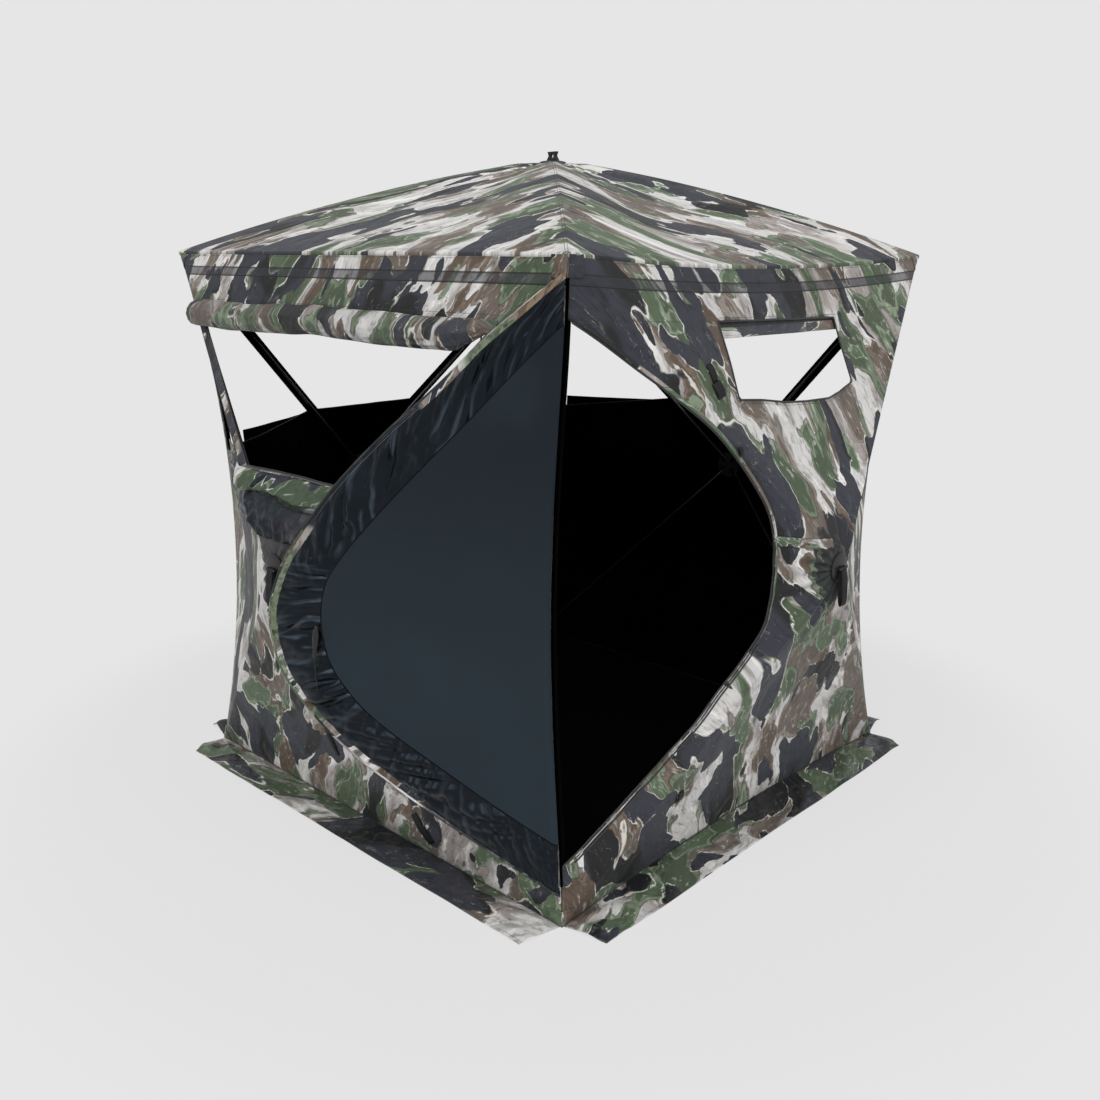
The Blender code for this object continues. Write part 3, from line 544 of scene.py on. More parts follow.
def follow_hub(made, side):
    """Bakes the piece's placement into its mesh and works out how far each point would go with its
    hub: fully at the pole pins, not at all at the pole tips, and in even proportion in between,
    as the straight poles under it do. weigh keeps nothing of it.
    """
    points = np.zeros(len(made.data.vertices) * 3)
    made.data.vertices.foreach_get("co", points)
    points = points.reshape(-1, 3)
    if side == "roof":
        share = np.abs(points[:, :2]).max(axis=1) / EAVE_HALF
        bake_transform(made)
        tip, pin = 0.9315, 0.0274  # as shares of the way from the hub to the edge
    else:
        _, along, up = from_wall(side, points)
        share, _ = gauge(side, along, up)
        hub = placed(side, HUB_OUT, 0.0, HUB_UP)
        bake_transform(made)
        tip, pin = 0.9357, 0.0275
    weigh(np.clip((tip - share) / (tip - pin), 0, 1))


def length_along(line):
    """The length run along a line of points, up to each of them."""
    return np.concatenate(([0], np.cumsum(np.linalg.norm(np.diff(line, axis=0), axis=1))))


def spline(points, count, closed=True):
    """A smooth curve through points, in equal steps along its length (Catmull-Rom)."""
    points = np.asarray(points, float)
    if closed:
        padded = np.vstack((points[-1], points, points[:2]))
    else:
        first, last = 2 * points[0] - points[1], 2 * points[-1] - points[-2]
        padded = np.vstack((first, points, last))
    t = np.linspace(0, 1, 24, endpoint=False)[:, None]
    curve = []
    for a, b, c, d in zip(padded, padded[1:], padded[2:], padded[3:]):
        curve.append(0.5 * (2 * b + (c - a) * t + (2 * a - 5 * b + 4 * c - d) * t ** 2
                            + (3 * b - a - 3 * c + d) * t ** 3))
    curve = np.vstack(curve + ([] if closed else [points[-1:]]))
    return evenly(curve, count, closed)


def evenly(curve, count, closed=True):
    """The same line in count equal steps."""
    line = np.vstack((curve, curve[:1])) if closed else curve
    run = length_along(line)
    stops = np.linspace(0, run[-1], count, endpoint=not closed)
    return np.column_stack([np.interp(stops, run, line[:, k]) for k in range(line.shape[1])])


def from_outline(flat, outline):
    """(distance, nearest point) of each flat point; the distance is negative inside."""
    start, end = outline, np.roll(outline, -1, axis=0)
    step = end - start
    size = (step ** 2).sum(axis=1)
    best, nearest = np.full(len(flat), 1e9), np.zeros((len(flat), 2))
    crossings = np.zeros(len(flat), int)
    for a, d, s, b in zip(start, step, size, end):
        t = np.clip(((flat - a) @ d) / max(s, 1e-12), 0, 1)
        at = a + t[:, None] * d
        gap = np.linalg.norm(flat - at, axis=1)
        closer = gap < best
        best, nearest = np.where(closer, gap, best), np.where(closer[:, None], at, nearest)
        straddles = (a[1] > flat[:, 1]) != (b[1] > flat[:, 1])
        where = a[0] + (flat[:, 1] - a[1]) / (d[1] if d[1] else 1e-12) * d[0]
        crossings += straddles & (flat[:, 0] < where)
    return np.where(crossings % 2 == 1, -best, best), nearest


def cut_out(flat, quads, outlines, cell):
    """Cuts holes in a flat grid: (moved points, faces, distance to the nearest hole's edge).

    Points within about half a cell of an outline move onto it. A face with one corner inside
    keeps the triangle of its other three, and a face with more goes.
    """
    flat = flat.copy()
    gap = np.full(len(flat), 1.0)
    inside = np.zeros(len(flat), bool)
    removed = np.zeros(len(quads), bool)
    for outline in outlines:
        low, high = outline.min(axis=0) - 0.12, outline.max(axis=0) + 0.12
        close = ((flat > low) & (flat < high)).all(axis=1).nonzero()[0]
        distance, nearest = from_outline(flat[close], outline)
        snapped = np.abs(distance) < cell[close]
        flat[close[snapped]] = nearest[snapped]
        distance[snapped] = 0
        gap[close] = np.minimum(gap[close], np.abs(distance))
        inside[close] |= distance < 0
        middle = flat[quads].mean(axis=1)
        held = ((middle > low) & (middle < high)).all(axis=1).nonzero()[0]
        removed[held] |= from_outline(middle[held], outline)[0] < -0.0005
    count = inside[quads].sum(axis=1)
    whole = quads[(count == 0) & ~removed]
    odd = quads[count == 1]
    turn = inside[odd].argmax(axis=1)
    order = (turn[:, None] + np.arange(1, 4)) % 4
    corners = np.take_along_axis(odd, order, axis=1)
    faces = np.vstack((whole, np.column_stack((corners, np.full(len(corners), -1)))))
    return flat, faces, gap


def used_only(faces, *arrays):
    """Drops points that no face uses."""
    kept, index = np.unique(faces[faces >= 0], return_inverse=True)
    renumbered = np.full(faces.shape, -1)
    renumbered[faces >= 0] = index.reshape(-1)
    return (renumbered, *(array[kept] for array in arrays))


def thicken(made, thickness, lined=1):
    """Gives a sheet its thickness on its inner side, which takes the next material slot."""
    step = made.modifiers.new("cloth", "SOLIDIFY")
    step.thickness = thickness
    step.offset = -1.0
    step.material_offset = lined


def pole_at(up):
    """How far along a wall its upper poles are at a height."""
    return EAVE_HALF * (up - HUB_UP) / POLE_RISE


def window_outlines(side):
    """The window band's openings, between the strips over its poles and beside its corners."""
    low, high = pole_at(SILL_UP), pole_at(WINDOW_TOP)
    before, beyond = (0.040, 0.011) if side == "left" else (0.017, 0.017)
    found = [[(-low + before, SILL_UP), (low - beyond, SILL_UP), (high - beyond, WINDOW_TOP),
              (-high + before, WINDOW_TOP)]]
    heights, seam_strip = np.array((0.965, 1.07, 1.175, 1.28, WINDOW_TOP)), 0.0242
    for sign, half in ((-1, 0.017), (1, beyond)):
        reach = corner_line(side, np.full(5, sign), heights)[1] - seam_strip
        outer = [(sign * r, z) for r, z in zip(reach, heights)]
        found.append([(sign * (low + half), SILL_UP), *outer, (sign * (high + half), WINDOW_TOP)])
    return [evenly(np.array(outline), 260) for outline in found]


def door_outline():
    """The door's opening: three sides of a drop, cut along the corner seam on the fourth."""
    points = np.array(((0.216, 1.277), (0.379, 1.159), (0.504, 1.020), (0.560, 0.925),
                       (0.588, 0.812), (0.580, 0.730), (0.548, 0.647), (0.441, 0.531),
                       (0.372, 0.459), (0.215, 0.327)))
    curve = spline(points, 200, closed=False)
    curve = np.vstack(((-0.045, 1.447), (0.10, 1.352), curve, (0.104, 0.237), (-0.045, 0.120)))
    curve[:, 0] = curve[:, 0] * 0.957 - 0.768
    return evenly(curve, 420)


def front_window_outline():
    """The small window beside the door: straight above, and drawn up in the middle below."""
    points = ((-0.287, 1.397), (0.230, 1.389), (0.240, 1.30), (0.251, 1.222), (0.180, 1.202),
              (0.115, 1.192), (0.010, 1.193), (-0.085, 1.199), (-0.180, 1.212), (-0.274, 1.220),
              (-0.280, 1.31))
    return evenly(np.array(points), 220)


OPENINGS = {side: window_outlines(side) for side in WINDOW_WALLS}
OPENINGS["front"] = [door_outline(), front_window_outline()]

# Each wall is cut from its own stretch of the printed cloth: (seed, lean) of its camouflage.
WALL_PRINT = {"front": (2.4, 1.0), "right": (7.7, -0.9), "back": (5.2, 0.8),
              "left": (11.0, -1.05)}


def wall_cloth(side):
    """The printed cloth of one wall, with the tape that carries the window covers and painted shade
    along its edges, dark edges along the openings, a dark patch round the hub painted as shade,
    on the left wall a strip over a pole painted black as shade, the hems' stitches and the seams,
    all placed by (along, up) in the UV map and by the gap to an edge."""
    cloth = Finish("camo_" + side, CANVAS)
    place, hem = cloth.uv("cut"), cloth.uv("hem")
    along, up = cloth.part(place, 0), cloth.part(place, 1)
    from_opening, from_seam = cloth.part(hem, 0), cloth.part(hem, 1)
    more = up.between(1.00, 0.45) * 0.014 if side == "front" else 0.0
    colour, bark = camouflage(cloth, place, seed=WALL_PRINT[side][0], lean=WALL_PRINT[side][1],
                              more=more)
    # Painted shade: a dark ragged patch round the hub, for the shade in the cloth gathered there.
    middle = cloth.add("VectorMath", {0: cloth.moved(place, (1.0, 0.7, 0), (0, -0.560, 0))},
                       result="Value", operation="LENGTH")
    hub_fold_shade = (middle + (bark - 0.5) * 0.16).between(0.088, 0.084)
    colour = cloth.mix(colour, linear(25, 26, 31), hub_fold_shade * 0.92)
    drop = EAVE_DROP.get(side, 0)
    height = up + (1 - along * along * (1 / 0.599)) * drop
    tape = height.between(1.4865, 1.4872) * height.between(1.5092, 1.5085)
    colour = cloth.mix(colour, linear(36, 38, 45), tape * 0.70)
    if side == "left":
        # Painted shade: on the left wall the strip over the pole beside the window is painted
        # black.
        painted_shade_strip = (along.between(0.20, 0.21) * from_seam.between(0.04, 0.05)
                     * up.between(1.012, 1.018) * up.between(1.392, 1.386))
        colour = cloth.mix(colour, linear(3, 3, 3), painted_shade_strip)
    rows = (height - 1.5065, height - 1.4890, height - 1.422, from_opening - 0.008,
            from_seam - 0.010, height - 1.538)
    sewn = sum(stitches(cloth, gap, along + up) for gap in rows)
    for gap in (CLOTH_TOP - height, up):
        square = from_seam.between(0.117, 0.115) * gap.between(0.107, 0.105)
        lines = sum(stitches(cloth, row, along + up) for row in
                    (from_seam - 0.115, gap - 0.105, from_seam - gap, from_seam + gap - 0.110))
        sewn = sewn + lines * square
    edge = from_opening.near(0.0, 0.0045)
    colour = cloth.mix(colour, THREAD, sewn * 0.75)
    colour = cloth.mix(colour, linear(30, 31, 33), edge * 0.75)
    shade = height.near(1.4866, 0.0022) + height.near(1.5090, 0.0022)
    colour = cloth.mix(colour, linear(10, 10, 12), shade * 0.8)
    puckers = cloth.noise(cloth.moved(place, (90, 14, 0), (3.0, 0, 0)), 1.0, 1.0)
    hems = from_opening.between(0.03, 0.0) + from_seam.between(0.03, 0.0) + tape
    relief = (creases(cloth, place, seed=WALL_PRINT[side][0], size=0.10, height=0.010)
              + weave(cloth, place))
    relief = relief + puckers * hems * 0.0016 + tape * 0.0012 - sewn * 0.0004
    return cloth.finished(colour, bark * 0.14 + 0.56, relief)


def make_wall(side):
    """One wall's sheet: rings of points from the hub's hole to the edge, once round."""
    steps, rings = 112, 96
    spread = np.linspace(1, -1, steps, endpoint=False)
    heights = np.linspace(0, 1, steps, endpoint=False)
    top, bottom = CLOTH_TOP, 0.0012
    down, climb = top + (bottom - top) * heights, bottom + (top - bottom) * heights
    ones = np.ones(steps)
    left = corner_line(side, -ones, down)[1] - SEAM_GAP
    right = corner_line(side, ones, climb)[1] - SEAM_GAP
    eave, hem = spread * (EAVE_HALF - SEAM_GAP), -spread * (HEM_HALF - SEAM_GAP)
    edge_along = np.concatenate((eave, -left, hem, right))
    sewn_down = hem_height(side, hem) - 0.0019  # the skirt is sewn on just below the hem's line
    edge_up = np.concatenate((eave_height(side, eave), down, sewn_down, climb))
    shares = 0.0135 + 0.9865 * np.linspace(0, 1, rings) ** 0.92
    flat = np.stack((shares[:, None] * edge_along, HUB_UP + shares[:, None] * (edge_up - HUB_UP)),
                    axis=-1).reshape(-1, 2)
    quads = grid(rings, 4 * steps, around=True)
    cell = np.repeat(np.clip(0.0085 * shares ** 0.3, 0.003, 0.0075), 4 * steps)
    flat, faces, gap = cut_out(flat, quads, OPENINGS[side], cell)
    faces, flat, gap = used_only(faces, flat, gap)
    along, up = flat[:, 0], flat[:, 1]
    reach = corner_line(side, np.sign(along), np.clip(up, 0, EAVE_UP))[1]
    points = on_wall(side, along, up)
    maps = {"cut": flat, "hem": np.column_stack((gap, np.maximum(reach - np.abs(along), 0)))}
    wall = piece("cloth_" + side, points, faces, [wall_cloth(side), black_inside], maps)
    outwards(wall)
    thicken(wall, CLOTH_THICK)
    follow_hub(wall, side)
    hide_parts("wall_" + side)


def facing(mesh, middle):
    """Each face's normal times its centre's way from a middle, axis by axis."""
    normals, centres = np.zeros(len(mesh.polygons) * 3), np.zeros(len(mesh.polygons) * 3)
    mesh.polygons.foreach_get("normal", normals)
    mesh.polygons.foreach_get("center", centres)
    return normals.reshape(-1, 3) * (centres.reshape(-1, 3) - middle)


def outwards(made, middle=(0, 0, 0.8)):
    """Turns a sheet's faces so that most look away from a middle."""
    if facing(made.data, middle).sum() < 0:
        made.data.flip_normals()


for side in TURN:
    make_wall(side)


# Roof: four gores over bent poles, seamed along the ridges. The cloth bows up over the poles,
# hollows a little between them and is gathered under the hub's cap.

ROOF_PEAK = 1.8198  # where the gores would meet, if the cap didn't hold them down


def roof_cloth():
    """The walls' cloth. The print is placed by the plan, so that it runs on across the ridges."""
    cloth = Finish("camo_roof", CANVAS)
    place, hem = cloth.uv("cut"), cloth.uv("hem")
    from_ridge, from_eave = cloth.part(hem, 0), cloth.part(hem, 1)
    colour, bark = camouflage(cloth, place, seed=17.3, lean=-0.785)
    rows = (from_ridge - 0.006, from_eave - 0.012, from_eave - 0.017)
    run = cloth.part(place, 0) + cloth.part(place, 1)
    sewn = sum(stitches(cloth, gap, run) for gap in rows)
    colour = cloth.mix(colour, THREAD, sewn * 0.6)
    colour = cloth.mix(colour, linear(40, 40, 42), from_ridge.near(0.0, 0.0016) * 0.5)
    relief = (creases(cloth, place, seed=8.0, size=0.13, height=0.009)
              + weave(cloth, place) - sewn * 0.0004)
    return cloth.finished(colour, bark * 0.14 + 0.54, relief)


def make_roof():
    """The roof's sheet: rings from the hub's hole to the eave, once round, four sides alike, and
    three more rings for the edge that is folded down over the walls."""
    steps, rings = 128, 84
    sides = ("front", "left", "back", "right")
    spread = np.linspace(1, -1, steps, endpoint=False) * EAVE_HALF
    sag = 1 - (spread / EAVE_HALF) ** 2
    edge = np.vstack([placed(side, np.full(steps, EAVE_HALF), spread,
                             EAVE_UP - EAVE_DROP.get(side, 0) * sag) for side in sides])
    shares = 0.0125 + 0.9875 * np.linspace(0, 1, rings) ** 0.92
    share = shares[:, None]
    angle = np.arctan2(edge[:, 1], edge[:, 0])
    ridge = np.abs(np.sin(2 * angle)) ** 3
    bow = (0.008 + 0.016 * ridge) * 4 * share * (1 - share)
    height = ROOF_PEAK + (edge[:, 2] - ROOF_PEAK) * share + bow
    loose = rise(1 - np.abs(np.sin(2 * angle)), 0.0, 0.35) * rise(1 - share, 0.0, 0.08)
    x, y = edge[:, 0] * share, edge[:, 1] * share
    fan = np.sin(22 * angle + 2 * np.sin(4 * angle)) * rise(share, 0.03, 0.08)
    height = height + 0.0026 * fan * (1 - rise(share, 0.08, 0.34))
    height = height - 0.006 * loose * rise(share, 0.1, 0.6) * rise(1 - share, 0.0, 0.4)
    height = height + 0.0040 * ripple(61, 0.5, x, y) * loose
    height = np.minimum(height, ROOF_UP - 0.0022 * (1 + fan) * rise(share, 0.05, 0.08))
    flap = [np.column_stack((edge[:, :2] * (1 + over / EAVE_HALF), edge[:, 2] - down))
            for over, down in ((0.0011, 0.0007), (0.0018, 0.0040), (0.0020, 0.0105))]
    points = np.concatenate((np.stack((x, y, height), axis=-1), flap)).reshape(-1, 3)
    rows = rings + len(flap)
    quads = grid(rows, 4 * steps, around=True)
    panel = np.tile(np.repeat(np.arange(4), steps), rows - 1)
    turns = np.radians([TURN[side] for side in sides])[panel]
    at = points[quads]
    out = at[..., 0] * np.cos(turns)[:, None] + at[..., 1] * np.sin(turns)[:, None]
    along = at[..., 1] * np.cos(turns)[:, None] - at[..., 0] * np.sin(turns)[:, None]
    hem = np.stack((np.maximum(out - np.abs(along), 0) * 0.707, (EAVE_HALF - out) * 1.058),
                   axis=-1)
    roof = piece("cloth_roof", points, quads, [roof_cloth(), black_inside],
                 {"cut": points[:, :2], "hem": hem})
    outwards(roof)
    thicken(roof, CLOTH_THICK)
    follow_hub(roof, "roof")
    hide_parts("roof")


make_roof()


# Trims: dark binding round every opening, with a second cord beside it low on the door's edge, and
# light piping on the window sills. Each is sewn to its wall.


def lofted(rings, along_uv, around_uv, around=True, capped=True):
    """(points, faces, places) of rings of points; capped closes the ends with a middle point."""
    rings = np.asarray(rings, float)
    rows, columns = rings.shape[:2]
    points = rings.reshape(-1, 3)
    faces = grid(rows, columns, around)
    places = np.stack(np.broadcast_arrays(along_uv[:, None], around_uv[None, :]), axis=-1)
    places = places.reshape(-1, 2)
    if capped:
        ends = np.array((rings[0].mean(axis=0), rings[-1].mean(axis=0)))
        first = len(points)
        ring = np.arange(columns)
        following = np.roll(ring, -1)
        start = np.column_stack((following, ring, np.full(columns, first), np.full(columns, -1)))
        last = (rows - 1) * columns
        end = np.column_stack((ring + last, following + last, np.full(columns, first + 1),
                               np.full(columns, -1)))
        points = np.vstack((points, ends))
        faces = np.vstack((faces, start, end))
        places = np.vstack((places, places[0], places[last]))
    return points, faces, places


def strip(path, out, wide, thick, sides=8, closed=False, capped=True):
    """A cord or tape along a path: an oval, wide across the path and thick along out."""
    path = np.asarray(path, float)
    if closed:
        heading = np.roll(path, -1, axis=0) - np.roll(path, 1, axis=0)
    else:
        heading = np.gradient(path, axis=0)
    heading /= np.linalg.norm(heading, axis=1)[:, None]
    out = np.broadcast_to(out, path.shape)
    face = out - (out * heading).sum(axis=1)[:, None] * heading
    face /= np.linalg.norm(face, axis=1)[:, None]
    beside = np.cross(heading, face)
    angle = np.linspace(0, 2 * math.pi, sides, endpoint=False) + math.pi / sides
    wide, thick = np.broadcast_to(wide, len(path)), np.broadcast_to(thick, len(path))
    bulk = 1.0 if sides <= 8 else 0.5
    across = np.sign(np.cos(angle)) * np.abs(np.cos(angle)) ** bulk
    deep = np.sign(np.sin(angle)) * np.abs(np.sin(angle)) ** bulk
    rings = (path[:, None] + beside[:, None] * (wide[:, None] / 2 * across)[..., None]
             + face[:, None] * (thick[:, None] / 2 * deep)[..., None])
    run = length_along(path)
    if closed:
        rings, run = np.vstack((rings, rings[:1])), np.append(run, run[-1] + run[1])
    return lofted(rings, run, angle * wide.max() / 2, True, capped and not closed)


def together(*groups):
    """Several (points, faces, places) in one."""
    points, faces, places, first = [], [], [], 0
    for some, quads, spots in groups:
        points.append(some)
        faces.append(np.where(quads >= 0, quads + first, -1))
        places.append(spots)
        first += len(some)
    return np.vstack(points), np.vstack(faces), np.vstack(places)


def shape(name, groups, finish):
    """An object of one material from several (points, faces, places)."""
    points, faces, places = together(*groups)
    return piece(name, points, faces, [finish], {"cut": places})


def outward(side):
    """The direction in which a wall looks."""
    return placed(side, 1.0, 0.0, 0.0)


def beside(outline, by):
    """The outline moved outwards by a distance."""
    step = np.roll(outline, -1, axis=0) - np.roll(outline, 1, axis=0)
    normal = np.column_stack((step[:, 1], -step[:, 0]))
    normal /= np.linalg.norm(normal, axis=1)[:, None]
    area = (outline[:, 0] * np.roll(outline[:, 1], -1) - np.roll(outline[:, 0], -1)
            * outline[:, 1]).sum()
    return outline + normal * by * (1 if area > 0 else -1)


def sewn_on(side, flat, wide, thick, closed=True, stand=0.0004):
    """A strip sewn to a wall along a line of (along, up)."""
    flat = np.asarray(flat)
    path = on_wall(side, flat[:, 0], flat[:, 1], stand)
    return strip(path, outward(side), wide, thick, 8, closed)


BINDING = (0.0046, 0.0040)  # width and thickness
binding = plain_cloth("binding_tape", linear(27, 28, 31), seed=5.0, roughness=0.55, size=0.012,
                      height=0.0012)
light_piping = plain_cloth("light_piping", linear(96, 98, 88), seed=6.0, size=0.012, height=0.0008)

for side in TURN:
    windows = OPENINGS[side][1 if side == "front" else 0:]
    edges = [sewn_on(side, outline, *BINDING) for outline in windows]
    if side == "front":
        door = OPENINGS[side][0]
        held = door[door[:, 0] > -0.765]
        edges.append(sewn_on(side, held, *BINDING, False))
        lower = held[held[:, 1] < 0.66]
        edges.append(sewn_on(side, beside(lower, 0.0150)[4:-4], 0.0060, 0.0026, False, 0.0010))
    trim = shape("opening_binding_" + side, edges, binding)
    follow_hub(trim, side)
    if side == "front":
        continue
    low = pole_at(SILL_UP)
    sills = [np.column_stack((np.linspace(-low + 0.02, low - 0.02, 90), np.full(90, 1.0115)))]
    for sign in (-1, 1):
        far = corner_line(side, np.float64(sign), 0.965)[1] - 0.026
        sills.append(np.column_stack((sign * np.linspace(low + 0.02, far, 50),
                                      np.linspace(1.0115, 0.9615, 50))))
    sill = shape("sill_piping_" + side,
                 [sewn_on(side, line, 0.0024, 0.0024, False, 0.0008) for line in sills],
                 light_piping)
    follow_hub(sill, side)


# Corner pockets: squares of the printed cloth folded round each roof corner and each ground corner
# and sewn down, with the end of a pole in each.

CORNER_WALLS = {"front_left": (("front", -1), ("left", 1)),
                "front_right": (("front", 1), ("right", -1)),
                "back_right": (("back", -1), ("right", 1)),
                "back_left": (("back", 1), ("left", -1))}


def corner_cloth(side):
    """The wall's own print, with two rows of stitches inside the patch's free edges; hem holds
    the gap to them."""
    cloth = Finish("camo_corner_" + side, {"Specular IOR Level": 0.35})
    place, hem = cloth.uv("cut"), cloth.uv("hem")
    colour, bark = camouflage(cloth, place, seed=WALL_PRINT[side][0], lean=WALL_PRINT[side][1])
    gap, run = cloth.part(hem, 0), cloth.part(hem, 1)
    sewn = stitches(cloth, gap - 0.003, run) + stitches(cloth, gap - 0.007, run)
    colour = cloth.mix(colour, THREAD, sewn * 0.75)
    colour = cloth.mix(colour, linear(60, 58, 55), gap.near(0.0, 0.0012) * 0.6)
    relief = (creases(cloth, place, seed=6.0, size=0.04, height=0.002)
              + weave(cloth, place) - sewn * 0.0004)
    return cloth.finished(colour, bark * 0.14 + 0.55, relief)


corner_finishes = {side: corner_cloth(side) for side in TURN}


def make_pocket(corner, level):
    """Half of the patch lies on each of the two walls: a grid of gaps from the seam and heights."""
    points, faces, places, hems, steps = [], [], [], [], 14
    down, wide = (0.047, 0.046) if level == "roof" else (0.040, 0.050)
    for side, sign in CORNER_WALLS[corner]:
        u, v = np.meshgrid(np.linspace(0, 1, steps), np.linspace(0, 1, steps))
        up = 1.5468 - down * v if level == "roof" else 0.0040 + down * v
        reach = corner_line(side, np.full(up.shape, sign), up)[1]
        from_seam = wide * u * (1 - 0.25 * v)
        along = sign * (reach + 0.0014 - from_seam)
        stand = 0.0018 + 0.0006 * np.sin(9 * v + 7 * u)
        points.append(on_wall(side, along, up, stand))
        faces.append(grid(steps, steps) + len(faces) * steps ** 2)
        places.append(np.stack((along, up), axis=-1))
        free = np.minimum(wide * (1 - u), down * (1 - v))
        hems.append(np.stack((free, from_seam + up), axis=-1))
    cloths = [corner_finishes[side] for side, _ in CORNER_WALLS[corner]]
    made = piece("sewn_pocket_" + level + "_" + corner, np.vstack(points), np.vstack(faces),
                 cloths + [black_inside, black_inside],
                 {"cut": np.vstack(places), "hem": np.vstack(hems)},
                 np.repeat((0, 1), (steps - 1) ** 2))
    inwards = facing(made.data, (0, 0, 0))[:, :2].sum(axis=1) < 0
    work = bmesh.new()
    work.from_mesh(made.data)
    work.faces.ensure_lookup_table()
    bmesh.ops.reverse_faces(work, faces=[work.faces[i] for i in np.nonzero(inwards)[0]])
    work.to_mesh(made.data)
    work.free()
    thicken(made, CLOTH_THICK, 2)
    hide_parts(level + "_corner_" + corner)
    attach(made, "shell")


for corner in CORNER_WALLS:
    make_pocket(corner, "roof")
    make_pocket(corner, "ground")


# Pole sleeves: flat black tubes inside the walls, in which the upper poles of the three window
# walls lie. Against the light a pole and its sleeve show as one broad black line.


black_sleeve = plain_cloth("black_sleeve", linear(1, 1, 1), seed=4.0, roughness=0.95, size=0.09,
                           height=0.002, sheen=0.0, gloss=0.0)


def make_sleeve(side, sign):
    """An oval tube from the cloth's fold to behind the pole, open at both ends."""
    share = np.linspace(0.275, 0.905, 70)
    fold, behind = 0.0014, 0.0185 - 0.007 * share + 0.0065
    path = on_wall(side, sign * EAVE_HALF * share, HUB_UP + POLE_RISE * share,
                   -(fold + behind) / 2)
    word = "right" if sign > 0 else "left"
    wide = {("left", -1): 0.013, ("left", 1): 0.018}.get((side, sign), 0.036)
    made = shape("pole_sleeve_" + side + "_" + word,
                 [strip(path, outward(side), wide, behind - fold, 8, capped=False)],
                 black_sleeve)
    thicken(made, 0.0006, 0)
    follow_hub(made, side)


for side in WINDOW_WALLS:
    make_sleeve(side, -1)
    make_sleeve(side, 1)


# Fittings: at the hinge a black zip tape and the seam's cord, inside the other corners a tape over
# the seam, on the front wall a tape that ties the door's edge to the hub and the printed flap over
# the door's zip, and on the front and left walls short black webbing tabs.


def printed(name, seed, depth, roughness, size=0.03, height=0.004, lean=0.0):
    """Camouflage cloth by its own cut, without seams."""
    cloth = Finish(name, {**CANVAS, "Specular IOR Level": 0.4})
    place = cloth.uv("cut")
    colour, bark = camouflage(cloth, place, seed=seed, depth=depth, lean=lean)
    relief = creases(cloth, place, seed=seed, size=size, height=height) + weave(cloth, place)
    return cloth.finished(colour, bark * 0.14 + (roughness - 0.07), relief)


def on_front(name, along, up, stand, finish, finer=1.0):
    """A strip of cloth on the front wall, from grids of along and up, and cut to a size."""
    made = piece(name, on_wall("front", along, up, stand), grid(*along.shape),
                 [finish, black_inside], {"cut": finer * np.stack((along, up), axis=-1)})
    outwards(made)
    thicken(made, 0.0010)
    follow_hub(made, "front")


up, across = np.meshgrid(np.linspace(0.150, 1.462, 120), np.linspace(0, 1, 8), indexing="ij")
along = -(corner_line("front", np.full(up.shape, -1.0), up)[1] - 0.0006) + 0.0120 * across
on_front("hinge_zip_tape", along, up, -0.0022, black_inside)

up = np.linspace(0.112, 1.500, 160)
out, reach = corner_line("front", np.full(160, -1.0), up)
seam = np.column_stack((out + 0.0004, -reach - 0.0004, up))
hinge_cord = shape("hinge_seam_cord", [strip(seam, (0.7071, -0.7071, 0.0), 0.0070, 0.0056)],
                   black_sleeve)
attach(hinge_cord, "shell")

out = corner_line("right", np.full(160, -1.0), up)[0] - 0.0031
for name, toward in (("front_right", (1, 1)), ("back_right", (-1, 1)), ("back_left", (-1, -1))):
    seam = np.column_stack((out * toward[0], out * toward[1], up))
    seam_tape = shape("corner_seam_tape_" + name,
                      [strip(seam, (*toward, 0.0), 0.0160, 0.0016)], black_sleeve)
    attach(seam_tape, "shell")

across, along = np.meshgrid(np.linspace(0, 1, 6), np.linspace(-0.218, -0.036, 40), indexing="ij")
up = 0.880 - 0.13 * (along + 0.218) + 0.003 * np.sin(along * 20) + 0.024 * (across - 0.5)
on_front("door_tie_tape", along, up, 0.0026,
         printed("camo_tie_tape", seed=71.0, depth=1.0, roughness=0.5, size=0.02, height=0.002,
                 lean=0.3), 2.6)

edge_line = beside(held, 0.0070)[3:-3]
edge_wide = 0.0105 - 0.0060 * rise(0.80 - edge_line[:, 1], 0.0, 0.12)
edge_strip = sewn_on("front", edge_line, edge_wide, 0.0026, False, 0.0012)
edge_cloth = printed("camo_edge_tape", seed=88.0, depth=1.0, roughness=0.55, size=0.01,
                     height=0.001)
follow_hub(shape("door_edge_tape", [edge_strip], edge_cloth), "front")

tab_webbing = plain_cloth("tab_webbing", linear(8, 8, 9), seed=7.0, size=0.012, height=0.0012,
                          sheen=0.0, gloss=0.3)

# Each tab: its upper end (along, up), the way to its lower end, its width and its thickness.
TABS = {"front": (((-0.378, 1.308), (0.010, -0.040), 0.020, 0.0026),
                  ((-0.371, 1.268), (0.010, -0.034), 0.030, 0.0060),
                  ((-0.338, 1.122), (0.003, -0.020), 0.014, 0.0026),
                  ((-0.425, 0.262), (0.006, -0.034), 0.022, 0.0026)),
        "left": (((-0.046, 0.305), (0.008, -0.105), 0.016, 0.0026),
                 ((0.268, 0.130), (0.050, -0.075), 0.026, 0.0030))}
for side, listed in TABS.items():
    tabs = []
    for top, drop, wide, thick in listed:
        t = np.linspace(0, 1, 16)
        stand = 0.0010 + thick / 2 + 0.004 * np.sin(math.pi * t)
        path = on_wall(side, top[0] + drop[0] * t, top[1] + drop[1] * t, stand)
        tabs.append(strip(path, outward(side), wide, thick, 12))
    follow_hub(shape("black_tabs_" + side, tabs, tab_webbing), side)


# Upper window covers: a length of the wall's cloth, rolled up tight under the eave tape, with
# long creases along the roll and a lip where the cloth ends.

ROLL_UP, ROLL_TALL, ROLL_THICK = 1.381, 0.031, 0.040  # its middle, half its height, its depth


